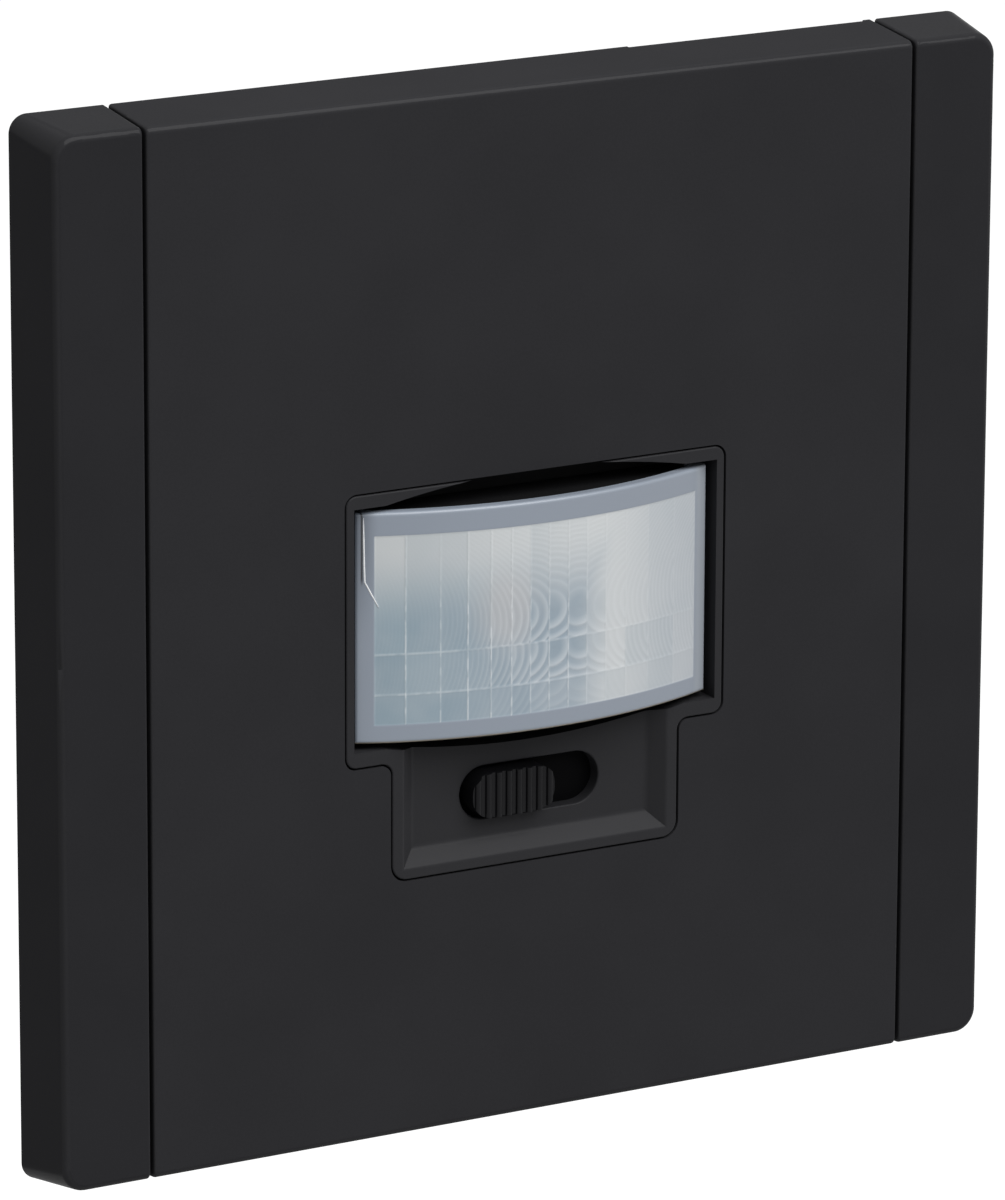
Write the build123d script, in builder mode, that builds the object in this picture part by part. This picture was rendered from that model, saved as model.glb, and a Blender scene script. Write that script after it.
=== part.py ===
from build123d import *
import math
import os

# Flush wall switch with a motion sensor. X runs to the right and Z up, seen from the room. The wall
# plane is Y = 0, the room lies towards -Y and the wall box towards +Y. All lengths are millimetres.
# Heights are measured from the wall plane towards the room, so a height is -Y.

# Plate and frame
plate_size = 86.0
plate_depth = 6.4
side_inset = 0.68
wall_corner_radius = 1.5
front_corner_radius = 2.0
front_edge_radius = 0.6
seam_edge_radius = 0.25
skirt_wall = 1.8
plate_wall = 2.0
inner_corner_radius = 0.6
strip_width = 8.4
seam_gap = 0.3
web_wall = 1.2
rail_skirt_gap = 1.7
rail_width = 3.4
rail_thickness = 1.8
rail_clearance = 0.3
tongue_reach = 0.8
tongue_border = 1.1
tongue_clearance = 0.2
prise_notch_width = 22.0
prise_notch_place = 22.6
prise_notch_depth = 0.25

# Spring prongs of the centre plate
prong_width = 6.0
prong_thickness = 1.2
prong_gap = 2.7
prong_place_z = 20.0
prong_reach = 1.6
prong_bump_radius = 0.2
prong_clearance = 0.45

# Steel strap
strap_inset = 6.0
strap_thickness = 1.2
strap_corner_radius = 3.0
strap_clearance = 0.3
fixing_spacing = 60.3
fixing_slot_length = 6.5
fixing_slot_width = 4.2

# Module casing
case_width = 50.0
case_height = 56.0
case_depth = 29.6
case_wall = 1.6
case_corner_radius = 3.0
case_edge_radius = 1.0
flange_side_border = 1.2
flange_end_border = 2.0
flange_thickness = 1.2
flange_ring = 4.0
lip_wall = 1.0
lip_depth = 2.0
lip_clearance = 0.15
ear_width = 8.0
ear_place = 11.0
ear_reach = 2.5
ear_thickness = 1.8

# Casing screws and their columns
column_inset = 3.0
column_radius = 3.0
boss_radius = 2.6
case_screw_radius = 1.25
case_screw_head_radius = 2.3
case_screw_head_thickness = 1.8
case_screw_length = 9.0
column_web = 2.0
column_top = 11.5
screw_clearance = 0.05
head_clearance = 0.3
cross_slot_width = 0.8
cross_slot_depth = 0.9

# Stepped sensor field
field_side_border = 0.77
field_top_border = 1.16
field_step_border = 1.31
field_low_border = 1.06
field_bottom_border = 0.93
field_gap = 0.15
field_corner_radius = 1.0
field_bottom_radius = 1.4
field_inner_radius = 0.9
field_edge_radius = 0.15

# Sensor bezel
bezel_depth = 3.0
bezel_flange_border = 1.4
bezel_flange_thickness = 0.8
lens_side_gap = 0.42
lens_end_gap = 0.51
opening_flat_length = 2.85
opening_bulge = 1.33
panel_width = 24.2
panel_drop = 5.02
panel_bevel = 1.35
panel_floor_radius = 0.7
panel_rim_radius = 0.4
slot_rim_radius = 0.15
panel_depth = 1.13
panel_floor = 1.2
slot_length = 12.74
slot_width = 4.39
slot_drop = 3.88
rivet_radius = 0.8
rivet_clearance = 0.1

# Lens and its carrier
lens_width = 32.22
lens_height = 18.9
lens_radius = 38.8
lens_thickness = 0.9
lens_edge_drop = 0.82
lens_edge_radius = 0.3
lens_tab = 1.2
lens_tab_thickness = 0.8
carrier_clearance = 0.1
carrier_wall = 1.1
carrier_step = 0.3
carrier_side_border = 1.39
carrier_end_border = 1.95
carrier_corner = 1.8

# Mode knob, carriage and slide switch
knob_length = 7.48
knob_height = 3.69
knob_proud = 0.2
knob_corner_radius = 1.6
knob_ribs = 8
rib_radius = 0.28
tenon_length = 3.0
tenon_height = 1.6
slide_step = 2.0
carriage_length = 18.4
carriage_height = 6.2
carriage_thickness = 1.0
slide_clearance = 0.1
pocket_clearance = 0.7
fork_wall = 1.2
fork_height = 3.0
fork_reach = 3.9
guide_rib_place = 6.2
guide_rib_width = 1.2
guide_rib_height = 5.2
lever_width = 2.0
lever_height = 2.4
lever_tip = 0.9
switch_length = 12.6
switch_height = 6.4
switch_depth = 4.6
switch_wall = 0.8
pin_radius = 0.4
switch_pin_pitch = 3.0
switch_pin_count = 4
pin_tail = 1.2

# Optics on the sensor board
shroud_border = 0.2
shroud_rear_width = 24.0
shroud_rear_height = 11.4
shroud_wall = 0.8
shroud_gap = 0.2
sensor_base_radius = 4.6
sensor_base_thickness = 0.6
sensor_can_radius = 4.1
sensor_can_height = 3.5
sensor_can_wall = 0.3
sensor_can_edge_radius = 0.25
filter_width = 4.8
filter_height = 3.8
filter_thickness = 0.4
filter_border = 0.3
sensor_pin_radius = 0.25
sensor_pin_circle = 2.54
sensor_pin_length = 3.4
photocell_radius = 2.1
photocell_height = 1.8
photocell_place = 8.6
photocell_edge_radius = 0.8

# Sensor board
board_thickness = 1.6
board_clearance = 0.5
sensor_board_depth = 8.0
board_notch = 6.0
board_post_radius = 2.2
board_post_inset = 3.0
board_screw_radius = 0.85
board_screw_head_radius = 1.8
board_screw_head_thickness = 1.2
board_screw_length = 6.0
chip_length = 9.9
chip_width = 3.9
chip_height = 1.5
chip_lift = 0.1
chip_place = (9.0, -6.0)
chip_leads = 7
chip_lead_pitch = 1.27
chip_lead_width = 0.45
chip_lead_reach = 1.0
chip_lead_height = 0.7
board_capacitor_radius = 2.5
board_capacitor_height = 7.0
board_capacitor_rise = 1.0
can_edge_radius = 0.4

# Trimmers
trimmer_size = 7.0
trimmer_height = 4.4
trimmer_place_x = 10.5
trimmer_drop = 6.4
dial_radius = 3.0
dial_shaft_radius = 1.5
dial_shaft_length = 3.2
dial_lift = 0.1
dial_top = 1.9
dial_slot_width = 0.9
dial_slot_length = 4.4
dial_slot_depth = 1.0
dial_hole_clearance = 0.4
dial_edge_radius = 0.3
shaft_clearance = 0.08

# Board link
header_pins_count = 6
header_pitch = 2.54
header_drop = 8.4
header_block_height = 2.5
header_pin_width = 0.64
header_pin_tail = 0.8
header_pin_clearance = 0.05

# Power board and its parts
board_rear_room = 2.4
bar_foot_margin = 2.6
power_post_drop = 10.9
foot_inset = 2.0
foot_radius = 1.8
part_gap = 0.6
part_inset = 3.9
heat_sink_width = 30.0
heat_sink_thickness = 1.6
heat_sink_height = 13.4
heat_sink_gap = 2.4
triac_width = 8.0
triac_thickness = 3.2
triac_height = 10.8
triac_lift = 2.0
triac_hole_drop = 3.2
triac_lead_width = 0.7
triac_lead_pitch = 2.3
triac_screw_radius = 1.45
triac_screw_head_radius = 2.6
triac_screw_head_thickness = 1.8
fuse_radius = 4.2
fuse_height = 8.0
fuse_inset = 3.8
film_length = 10.5
film_width = 5.0
film_height = 10.5
film_edge_radius = 0.6
choke_radius = 5.0
choke_height = 11.0
choke_flange = 1.3
choke_core_radius = 2.2
choke_winding_radius = 4.3
choke_clearance = 0.05
smoothing_radius = 4.0
smoothing_height = 12.0
varistor_radius = 4.5
varistor_thickness = 3.4
varistor_lift = 0.9
varistor_shift = 2.0
varistor_lead_spread = 2.5
varistor_edge_radius = 0.8
bridge_length = 4.7
bridge_width = 3.9
bridge_height = 2.5
bridge_lift = 0.2
bridge_lead_pitch = 2.5
bridge_lead_width = 0.6

# Rising-cage terminals
terminal_place = 9.0
cage_rear_gap = 2.0
thread_pitch = 0.6
cage_travel = 2.8
cage_width = 7.0
cage_depth = 7.0
cage_wall = 1.2
cage_floor_gap = 0.2
wire_gap = 3.4
tongue_width = 4.0
tongue_thickness = 1.2
riser_gap = 0.6
bar_rise = 8.4
chamber_clearance = 0.35
chamber_wall = 1.0
chamber_gap = 1.0
chamber_lead = 1.2
terminal_screw_radius = 1.75
terminal_head_radius = 3.0
terminal_head_thickness = 2.2
terminal_slot_width = 1.0
terminal_slot_depth = 1.2
tip_clearance = 0.05
access_hole_radius = 2.4
shelf_thickness = 1.3
shelf_clearance = 0.1
wire_hole_radius = 1.6

# Cutters reach this far past a face
overrun = 1.0

# Plate, strap and casing outlines, from the middle outwards
skirt_inside = plate_size / 2 - skirt_wall
seam_place = plate_size / 2 - strip_width
strap_size = plate_size - 2 * strap_inset
rail_place = skirt_inside - rail_skirt_gap - rail_width / 2
inner_half_width = case_width / 2 - case_wall
inner_half_height = case_height / 2 - case_wall
flange_width = case_width + 2 * flange_side_border
flange_height = case_height + 2 * flange_end_border
prong_place_x = flange_width / 2 + prong_gap + prong_thickness / 2

# Sensor field, from the lens outwards and down to the knob
opening_width = lens_width + 2 * lens_side_gap
opening_flat = lens_height / 2 + lens_end_gap
opening_chord = opening_width - 2 * opening_flat_length
field_wide = opening_width + 2 * field_side_border
field_top = opening_flat + field_top_border
field_step = opening_flat + field_step_border
slot_place = field_step + slot_drop
panel_bottom = slot_place + panel_drop
field_bottom = panel_bottom + field_bottom_border
field_narrow = panel_width + 2 * field_low_border

# Heights of the layers, towards the room from the wall plane
rail_top = strap_thickness + rail_thickness
bezel_rear = plate_depth - bezel_depth
floor_front = plate_depth - panel_depth
floor_rear = floor_front - panel_floor
carriage_front = floor_rear - slide_clearance
carriage_rear = carriage_front - carriage_thickness
shell_floor_rear = strap_thickness - case_wall
tab_rear = bezel_rear - lens_tab_thickness
board_front = -sensor_board_depth
board_rear = board_front - board_thickness
case_inner_rear = case_wall - case_depth
power_rear = case_inner_rear + board_rear_room
power_front = power_rear + board_thickness

# Terminals, from the casing's bottom wall upwards and from its rear wall forwards
head_top = inner_half_height - head_clearance - terminal_head_thickness
shelf_place = head_top - shelf_clearance - shelf_thickness / 2
cage_bottom = shelf_place - shelf_thickness / 2 - head_clearance - cage_travel
cage_inner_height = cage_floor_gap + tongue_thickness + wire_gap
cage_top = cage_bottom - cage_inner_height - 2 * cage_wall
tongue_top = cage_top + cage_wall + wire_gap
bar_top = tongue_top - bar_rise
terminal_depth = -case_inner_rear - cage_rear_gap - cage_depth / 2
tongue_front = terminal_depth - cage_depth / 2 - riser_gap - tongue_thickness
chamber_front = tongue_front - chamber_lead
terminal_spots = (-terminal_place, terminal_place)

# Boards and what stands on them
power_board_bottom = bar_top + bar_foot_margin
chamber_top = power_board_bottom + chamber_gap
board_half_width = inner_half_width - board_clearance
board_half_height = inner_half_height - board_clearance
heat_sink_place = inner_half_height - heat_sink_gap - heat_sink_thickness
header_place = heat_sink_place - header_drop
trimmer_place_z = inner_half_height - trimmer_drop
part_edge = board_half_width - part_inset
part_start = part_gap - bar_top
film_place = (film_length / 2 - part_edge, part_start + film_width / 2)
smoothing_place = (smoothing_radius - part_edge, part_start + film_width + part_gap + smoothing_radius)
bridge_place = (smoothing_place[0], smoothing_place[1] + smoothing_radius + part_gap + bridge_width / 2)
board_capacitor_place = (bridge_place[0], bridge_place[1] + board_capacitor_rise)
choke_place = (part_edge - choke_radius, part_start + choke_radius)
varistor_place = (choke_place[0] + varistor_shift, choke_place[1] + choke_radius + part_gap + varistor_radius)
fuse_place = (0, fuse_inset + fuse_radius - power_board_bottom)

# Places that several pieces share
column_x = inner_half_width - column_inset
column_z = inner_half_height - column_inset
corner_columns = [(x, z) for x in (-column_x, column_x) for z in (-column_z, column_z)]
board_post_x = inner_half_width - board_post_inset
board_posts = [(-board_post_x, 0), (board_post_x, 0)]
power_post_z = inner_half_height - power_post_drop
power_posts = [(-board_post_x, power_post_z), (board_post_x, power_post_z)]
feet = [(x * board_post_x, foot_inset - power_board_bottom) for x in (-1, 1)]
slot_spot = [(0, -slot_place)]
knob_spot = [(-slide_step, -slot_place)]
prong_spots = [(x * prong_place_x, z * prong_place_z) for x in (-1, 1) for z in (-1, 1)]
rivets = [(x * field_wide / 2, field_top) for x in (-1, 1)]
rivets += [(x * field_narrow / 2, -field_bottom) for x in (-1, 1)]
trimmer_spots = [(-trimmer_place_x, trimmer_place_z), (trimmer_place_x, trimmer_place_z)]


def layer(height):
    """Plane parallel to the wall, a height in front of it, read with X to the right and Z up."""
    return Plane.XZ.offset(height)


def block(width, tall, low, high, spots=((0, 0),), mode=Mode.ADD):
    """Straight-sided block between two heights, at each spot."""
    with BuildSketch(layer(low)) as outline:
        with Locations(*spots):
            Rectangle(width, tall)
    extrude(outline.sketch, amount=high - low, mode=mode)


def post(radius, low, high, spots=((0, 0),), mode=Mode.ADD):
    """Round post or round hole between two heights, at each spot."""
    with BuildSketch(layer(low)) as outline:
        with Locations(*spots):
            Circle(radius)
    extrude(outline.sketch, amount=high - low, mode=mode)


def rounded_block(width, tall, radius, low, high, mode=Mode.ADD):
    """Block with rounded upright corners between two heights."""
    with BuildSketch(layer(low)) as outline:
        RectangleRounded(width, tall, radius)
    extrude(outline.sketch, amount=high - low, mode=mode)


def leaning_block(border, height, wall_radius, front_radius, mode=Mode.ADD):
    """Plate blank from the wall plane to a height, its four sides leaning in."""
    wall_side = plate_size - 2 * border
    front_side = wall_side - 2 * side_inset * height / plate_depth
    with BuildSketch(layer(0)) as wall_outline:
        RectangleRounded(wall_side, wall_side, wall_radius)
    with BuildSketch(layer(height)) as front_outline:
        RectangleRounded(front_side, front_side, front_radius)
    loft([wall_outline.sketch, front_outline.sketch], ruled=True, mode=mode)


def stepped_face(grow):
    """Outline of the sensor field, wide at the lens and narrow at the knob, grown by a border."""
    wide = field_wide / 2 + grow
    narrow = field_narrow / 2 + grow
    top = field_top + grow
    step = -field_step - grow
    bottom = -field_bottom - grow
    outer = field_corner_radius + grow
    low = field_bottom_radius + grow
    inner = max(field_inner_radius - grow, 0)
    with BuildSketch() as outline:
        with BuildLine():
            FilletPolyline(
                [
                    (-wide, top),
                    (wide, top),
                    (wide, step),
                    (narrow, step),
                    (narrow, bottom),
                    (-narrow, bottom),
                    (-narrow, step),
                    (-wide, step),
                ],
                radius=[outer, outer, outer, inner, low, low, inner, outer],
                close=True,
            )
        make_face()
    return outline.sketch


def opening_face():
    """Lens opening: a rectangle whose top and bottom bulge outwards as arcs."""
    side = opening_width / 2
    chord = opening_chord / 2
    crown = opening_flat + opening_bulge
    with BuildSketch() as outline:
        with BuildLine():
            Polyline((chord, opening_flat), (side, opening_flat), (side, -opening_flat), (chord, -opening_flat))
            ThreePointArc((chord, -opening_flat), (0, -crown), (-chord, -opening_flat))
            Polyline((-chord, -opening_flat), (-side, -opening_flat), (-side, opening_flat), (-chord, opening_flat))
            ThreePointArc((-chord, opening_flat), (0, crown), (chord, opening_flat))
        make_face()
    return outline.sketch


# Outer frame: two full-depth side strips, joined behind the centre plate by two flat rails.
# A short tongue at each end of a seam lies behind it and keeps the wall from showing through.
strip_edge = seam_place + seam_gap / 2
plate_half = seam_place - seam_gap / 2
tongue_inner = plate_half - tongue_reach
tongue_outer = plate_size / 2 - tongue_border
tongue_width = strip_edge + web_wall - tongue_inner
with BuildPart() as cover_frame:
    leaning_block(0, plate_depth, wall_corner_radius, front_corner_radius)
    fillet(cover_frame.faces().sort_by(Axis.Y)[0].edges(), front_edge_radius)
    leaning_block(skirt_wall, plate_depth - skirt_wall, inner_corner_radius, inner_corner_radius, Mode.SUBTRACT)
    block(2 * strip_edge, plate_size + 2 * overrun, -overrun, plate_depth + overrun, mode=Mode.SUBTRACT)
    seam_edges = cover_frame.faces().sort_by(Axis.Y)[0:2].edges().filter_by(Axis.Z)
    fillet([edge for edge in seam_edges if abs(edge.center().X) < strip_edge + seam_edge_radius], seam_edge_radius)
    web_spots = [(x * (strip_edge + web_wall / 2), 0) for x in (-1, 1)]
    web_height = 2 * (rail_place + rail_width / 2)
    block(web_wall, web_height, strap_thickness + rail_clearance, plate_depth - skirt_wall, web_spots)
    rail_spots = [(0, -rail_place), (0, rail_place)]
    block(2 * (strip_edge + web_wall), rail_width, strap_thickness, rail_top, rail_spots)
    tongue_x = tongue_inner + tongue_width / 2
    tongue_z = (rail_place + tongue_outer) / 2
    tongues = [(x * tongue_x, z * tongue_z) for x in (-1, 1) for z in (-1, 1)]
    block(tongue_width, tongue_outer - rail_place, strap_thickness, rail_top, tongues)
cover_frame.part.label = "cover_frame"
os.makedirs("parts", exist_ok=True)
export_step(cover_frame.part, "parts/cover_frame.step")

# Centre plate: full height, skirts to the wall at top and bottom, stepped aperture, four spring prongs.
# The ends of its skirts are rebated at the rear for the tongues.
rebate_width = plate_half + overrun - tongue_inner + tongue_clearance
rebate_height = tongue_outer + tongue_clearance - skirt_inside + overrun
with BuildPart() as centre_plate:
    leaning_block(0, plate_depth, wall_corner_radius, front_corner_radius)
    fillet(centre_plate.faces().sort_by(Axis.Y)[0].edges(), front_edge_radius)
    block(2 * plate_half, plate_size, 0, plate_depth, mode=Mode.INTERSECT)
    front_face = centre_plate.faces().sort_by(Axis.Y)[0]
    fillet(front_face.edges().filter_by(Axis.Z), seam_edge_radius)
    block(2 * plate_half, 2 * skirt_inside, 0, plate_depth - plate_wall, mode=Mode.SUBTRACT)
    with BuildSketch(layer(plate_depth - plate_wall - overrun)) as aperture:
        add(stepped_face(field_gap / 2))
    extrude(aperture.sketch, amount=plate_wall + 2 * overrun, mode=Mode.SUBTRACT)
    block(prong_thickness, prong_width, -prong_reach, plate_depth - plate_wall, prong_spots)
    for x, z in prong_spots:
        with BuildSketch(Plane.XY.offset(z - prong_width / 2)) as bump:
            with Locations((x + math.copysign(prong_thickness / 2, x), -strap_thickness / 2)):
                Circle(prong_bump_radius)
        extrude(bump.sketch, amount=prong_width)
    rebate_x = tongue_inner - tongue_clearance + rebate_width / 2
    rebate_z = skirt_inside - overrun + rebate_height / 2
    rebates = [(x * rebate_x, z * rebate_z) for x in (-1, 1) for z in (-1, 1)]
    block(rebate_width, rebate_height, -overrun, rail_top + tongue_clearance, rebates, Mode.SUBTRACT)
    notch_spot = [(prise_notch_place, plate_size / 2)]
    block(prise_notch_width, 2 * skirt_wall + overrun, 0, prise_notch_depth, notch_spot, Mode.SUBTRACT)
centre_plate.part.label = "centre_plate"
export_step(centre_plate.part, "parts/centre_plate.step")

# Sensor bezel: flush stepped frame with the lens opening, the recessed panel and the knob's slot.
panel_top = opening_flat - overrun
with BuildPart() as sensor_bezel:
    with BuildSketch(layer(bezel_rear)) as field:
        add(stepped_face(-field_gap / 2))
    extrude(field.sketch, amount=bezel_depth)
    fillet(sensor_bezel.faces().sort_by(Axis.Y)[0].edges(), field_edge_radius)
    with BuildSketch(layer(bezel_rear)) as flange:
        add(stepped_face(bezel_flange_border))
    extrude(flange.sketch, amount=bezel_flange_thickness)
    with BuildSketch(layer(plate_depth)) as panel_front:
        with Locations((0, -(panel_bottom + panel_top) / 2)):
            Rectangle(panel_width, panel_bottom - panel_top)
    with BuildSketch(layer(floor_front)) as panel_back:
        with Locations((0, -(panel_bottom - panel_bevel + panel_top) / 2)):
            Rectangle(panel_width - 2 * panel_bevel, panel_bottom - panel_bevel - panel_top)
    loft([panel_front.sketch, panel_back.sketch], mode=Mode.SUBTRACT)
    panel_face = sensor_bezel.faces().filter_by(Axis.Y).group_by(Axis.Y)[1][0]
    fillet(panel_face.edges().sort_by(Axis.Z)[:-1], panel_floor_radius)
    rim_face = sensor_bezel.faces().sort_by(Axis.Y)[0]
    fillet(rim_face.inner_wires()[0].edges().sort_by(Axis.Z)[:-1], panel_rim_radius)
    with BuildSketch(layer(bezel_rear - overrun)) as opening:
        add(opening_face())
    extrude(opening.sketch, amount=bezel_depth + 2 * overrun, mode=Mode.SUBTRACT)
    with BuildSketch(layer(bezel_rear - overrun)) as slot:
        with Locations(*slot_spot):
            SlotOverall(slot_length, slot_width)
    extrude(slot.sketch, amount=bezel_depth + 2 * overrun, mode=Mode.SUBTRACT)
    panel_floor = sensor_bezel.faces().filter_by(Axis.Y).group_by(Axis.Y)[1][0]
    fillet(panel_floor.inner_wires()[0].edges(), slot_rim_radius)
    pocket_length = carriage_length + 2 * slide_step + 2 * pocket_clearance
    pocket_height = carriage_height + 2 * slide_clearance
    block(pocket_length, pocket_height, bezel_rear - overrun, floor_rear, slot_spot, Mode.SUBTRACT)
    post(rivet_radius, shell_floor_rear, bezel_rear, rivets)
sensor_bezel.part.label = "sensor_bezel"
export_step(sensor_bezel.part, "parts/sensor_bezel.step")

# Lens: frosted sheet bent about an upright axis, with side walls and tabs held behind the bezel.
lens_half = lens_width / 2
lens_edge = plate_depth - lens_edge_drop
lens_axis = lens_edge - math.sqrt(lens_radius ** 2 - lens_half ** 2)


def bend_height(radius, x):
    """Height of a surface bent round the lens axis, at a distance from the middle."""
    return lens_axis + math.sqrt(radius ** 2 - x ** 2)


inner_radius = lens_radius - lens_thickness
inner_half = lens_half - lens_thickness
with BuildPart() as fresnel_lens:
    with BuildSketch(Plane.XY.offset(-lens_height / 2)) as lens_plan:
        with BuildLine():
            ThreePointArc((-lens_half, -lens_edge), (0, -bend_height(lens_radius, 0)), (lens_half, -lens_edge))
            Polyline(
                (lens_half, -lens_edge),
                (lens_half, -bezel_rear),
                (lens_half + lens_tab, -bezel_rear),
                (lens_half + lens_tab, -tab_rear),
                (inner_half, -tab_rear),
                (inner_half, -bend_height(inner_radius, inner_half)),
            )
            ThreePointArc(
                (inner_half, -bend_height(inner_radius, inner_half)),
                (0, -bend_height(inner_radius, 0)),
                (-inner_half, -bend_height(inner_radius, inner_half)),
            )
            Polyline(
                (-inner_half, -bend_height(inner_radius, inner_half)),
                (-inner_half, -tab_rear),
                (-lens_half - lens_tab, -tab_rear),
                (-lens_half - lens_tab, -bezel_rear),
                (-lens_half, -bezel_rear),
                (-lens_half, -lens_edge),
            )
        make_face()
    extrude(lens_plan.sketch, amount=lens_height)
    curved = fresnel_lens.faces().filter_by(GeomType.CYLINDER).sort_by(Axis.Y)[0]
    fillet(curved.edges(), lens_edge_radius)
fresnel_lens.part.label = "fresnel_lens"
export_step(fresnel_lens.part, "parts/fresnel_lens.step")

# Lens carrier: dark box behind the lens, its top and bottom walls bent to the sheet, on a flat base.
carrier_radius = inner_radius - carrier_clearance
carrier_half = inner_half - carrier_clearance
carrier_tall = lens_height - 2 * carrier_step
carrier_base_width = lens_width + 2 * carrier_side_border
carrier_base_height = lens_height + 2 * carrier_end_border
window_width = 2 * (carrier_half - carrier_wall)
window_height = carrier_tall - 2 * carrier_wall
with BuildPart() as lens_carrier:
    block(carrier_base_width, carrier_base_height, strap_thickness, tab_rear)
    corner_x = (carrier_base_width - carrier_corner) / 2
    corner_z = (carrier_base_height - carrier_corner) / 2
    corners = [(x * corner_x, z * corner_z) for x in (-1, 1) for z in (-1, 1)]
    block(carrier_corner, carrier_corner, strap_thickness, tab_rear, corners, Mode.SUBTRACT)
    with BuildSketch(Plane.XY.offset(-carrier_tall / 2)) as carrier_plan:
        with BuildLine():
            Polyline(
                (carrier_half, -bend_height(carrier_radius, carrier_half)),
                (carrier_half, -strap_thickness),
                (-carrier_half, -strap_thickness),
                (-carrier_half, -bend_height(carrier_radius, carrier_half)),
            )
            ThreePointArc(
                (-carrier_half, -bend_height(carrier_radius, carrier_half)),
                (0, -bend_height(carrier_radius, 0)),
                (carrier_half, -bend_height(carrier_radius, carrier_half)),
            )
        make_face()
    extrude(carrier_plan.sketch, amount=carrier_tall)
    block(window_width, window_height, strap_thickness - overrun, lens_radius, mode=Mode.SUBTRACT)
lens_carrier.part.label = "lens_carrier"
export_step(lens_carrier.part, "parts/lens_carrier.step")

# Knob: stadium-shaped button with upright ribs, and a tenon into the carriage.
knob_front = plate_depth + knob_proud
rib_pitch = knob_length / knob_ribs
with BuildPart() as mode_knob:
    block(knob_length, knob_height, carriage_front, knob_front - rib_radius, knob_spot)
    for index in range(knob_ribs):
        rib_x = -slide_step + (index - (knob_ribs - 1) / 2) * rib_pitch
        with BuildSketch(Plane.XY.offset(-slot_place - knob_height / 2)) as rib:
            with Locations((rib_x, -knob_front + rib_radius)):
                Circle(rib_radius)
        extrude(rib.sketch, amount=knob_height)
    with BuildSketch(layer(carriage_front)) as stadium:
        with Locations(*knob_spot):
            RectangleRounded(knob_length, knob_height, knob_corner_radius)
    extrude(stadium.sketch, amount=plate_depth, mode=Mode.INTERSECT)
    block(tenon_length, tenon_height, carriage_rear, carriage_front, knob_spot)
mode_knob.part.label = "mode_knob"
export_step(mode_knob.part, "parts/mode_knob.step")

# Carriage: shutter plate behind the slot, with a fork that straddles the switch lever.
with BuildPart() as knob_carriage:
    block(carriage_length, carriage_height, carriage_rear, carriage_front, knob_spot)
    tenon_hole = (tenon_length + 2 * screw_clearance, tenon_height + 2 * screw_clearance)
    block(*tenon_hole, carriage_rear - overrun, carriage_front + overrun, knob_spot, Mode.SUBTRACT)
    fork_offset = lever_width / 2 + slide_clearance + fork_wall / 2
    fork_spots = [(-slide_step + side * fork_offset, -slot_place) for side in (-1, 1)]
    block(fork_wall, fork_height, carriage_rear - fork_reach, carriage_rear, fork_spots)
knob_carriage.part.label = "knob_carriage"
export_step(knob_carriage.part, "parts/knob_carriage.step")

# Steel strap: square plate on the wall, screwed to the lugs of the wall box through two slots.
with BuildPart() as support_strap:
    rounded_block(strap_size, strap_size, strap_corner_radius, 0, strap_thickness)
    block(
        case_width + 2 * strap_clearance,
        case_height + 2 * strap_clearance,
        -overrun,
        strap_thickness + overrun,
        mode=Mode.SUBTRACT,
    )
    with BuildSketch(layer(-overrun)) as fixing_slots:
        with Locations((-fixing_spacing / 2, 0), (fixing_spacing / 2, 0)):
            SlotOverall(fixing_slot_length, fixing_slot_width)
    extrude(fixing_slots.sketch, amount=strap_thickness + 2 * overrun, mode=Mode.SUBTRACT)
    block(
        prong_thickness + 2 * prong_clearance,
        prong_width + 2 * prong_clearance,
        -overrun,
        strap_thickness + overrun,
        prong_spots,
        Mode.SUBTRACT,
    )
support_strap.part.label = "support_strap"
export_step(support_strap.part, "parts/support_strap.step")

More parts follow.
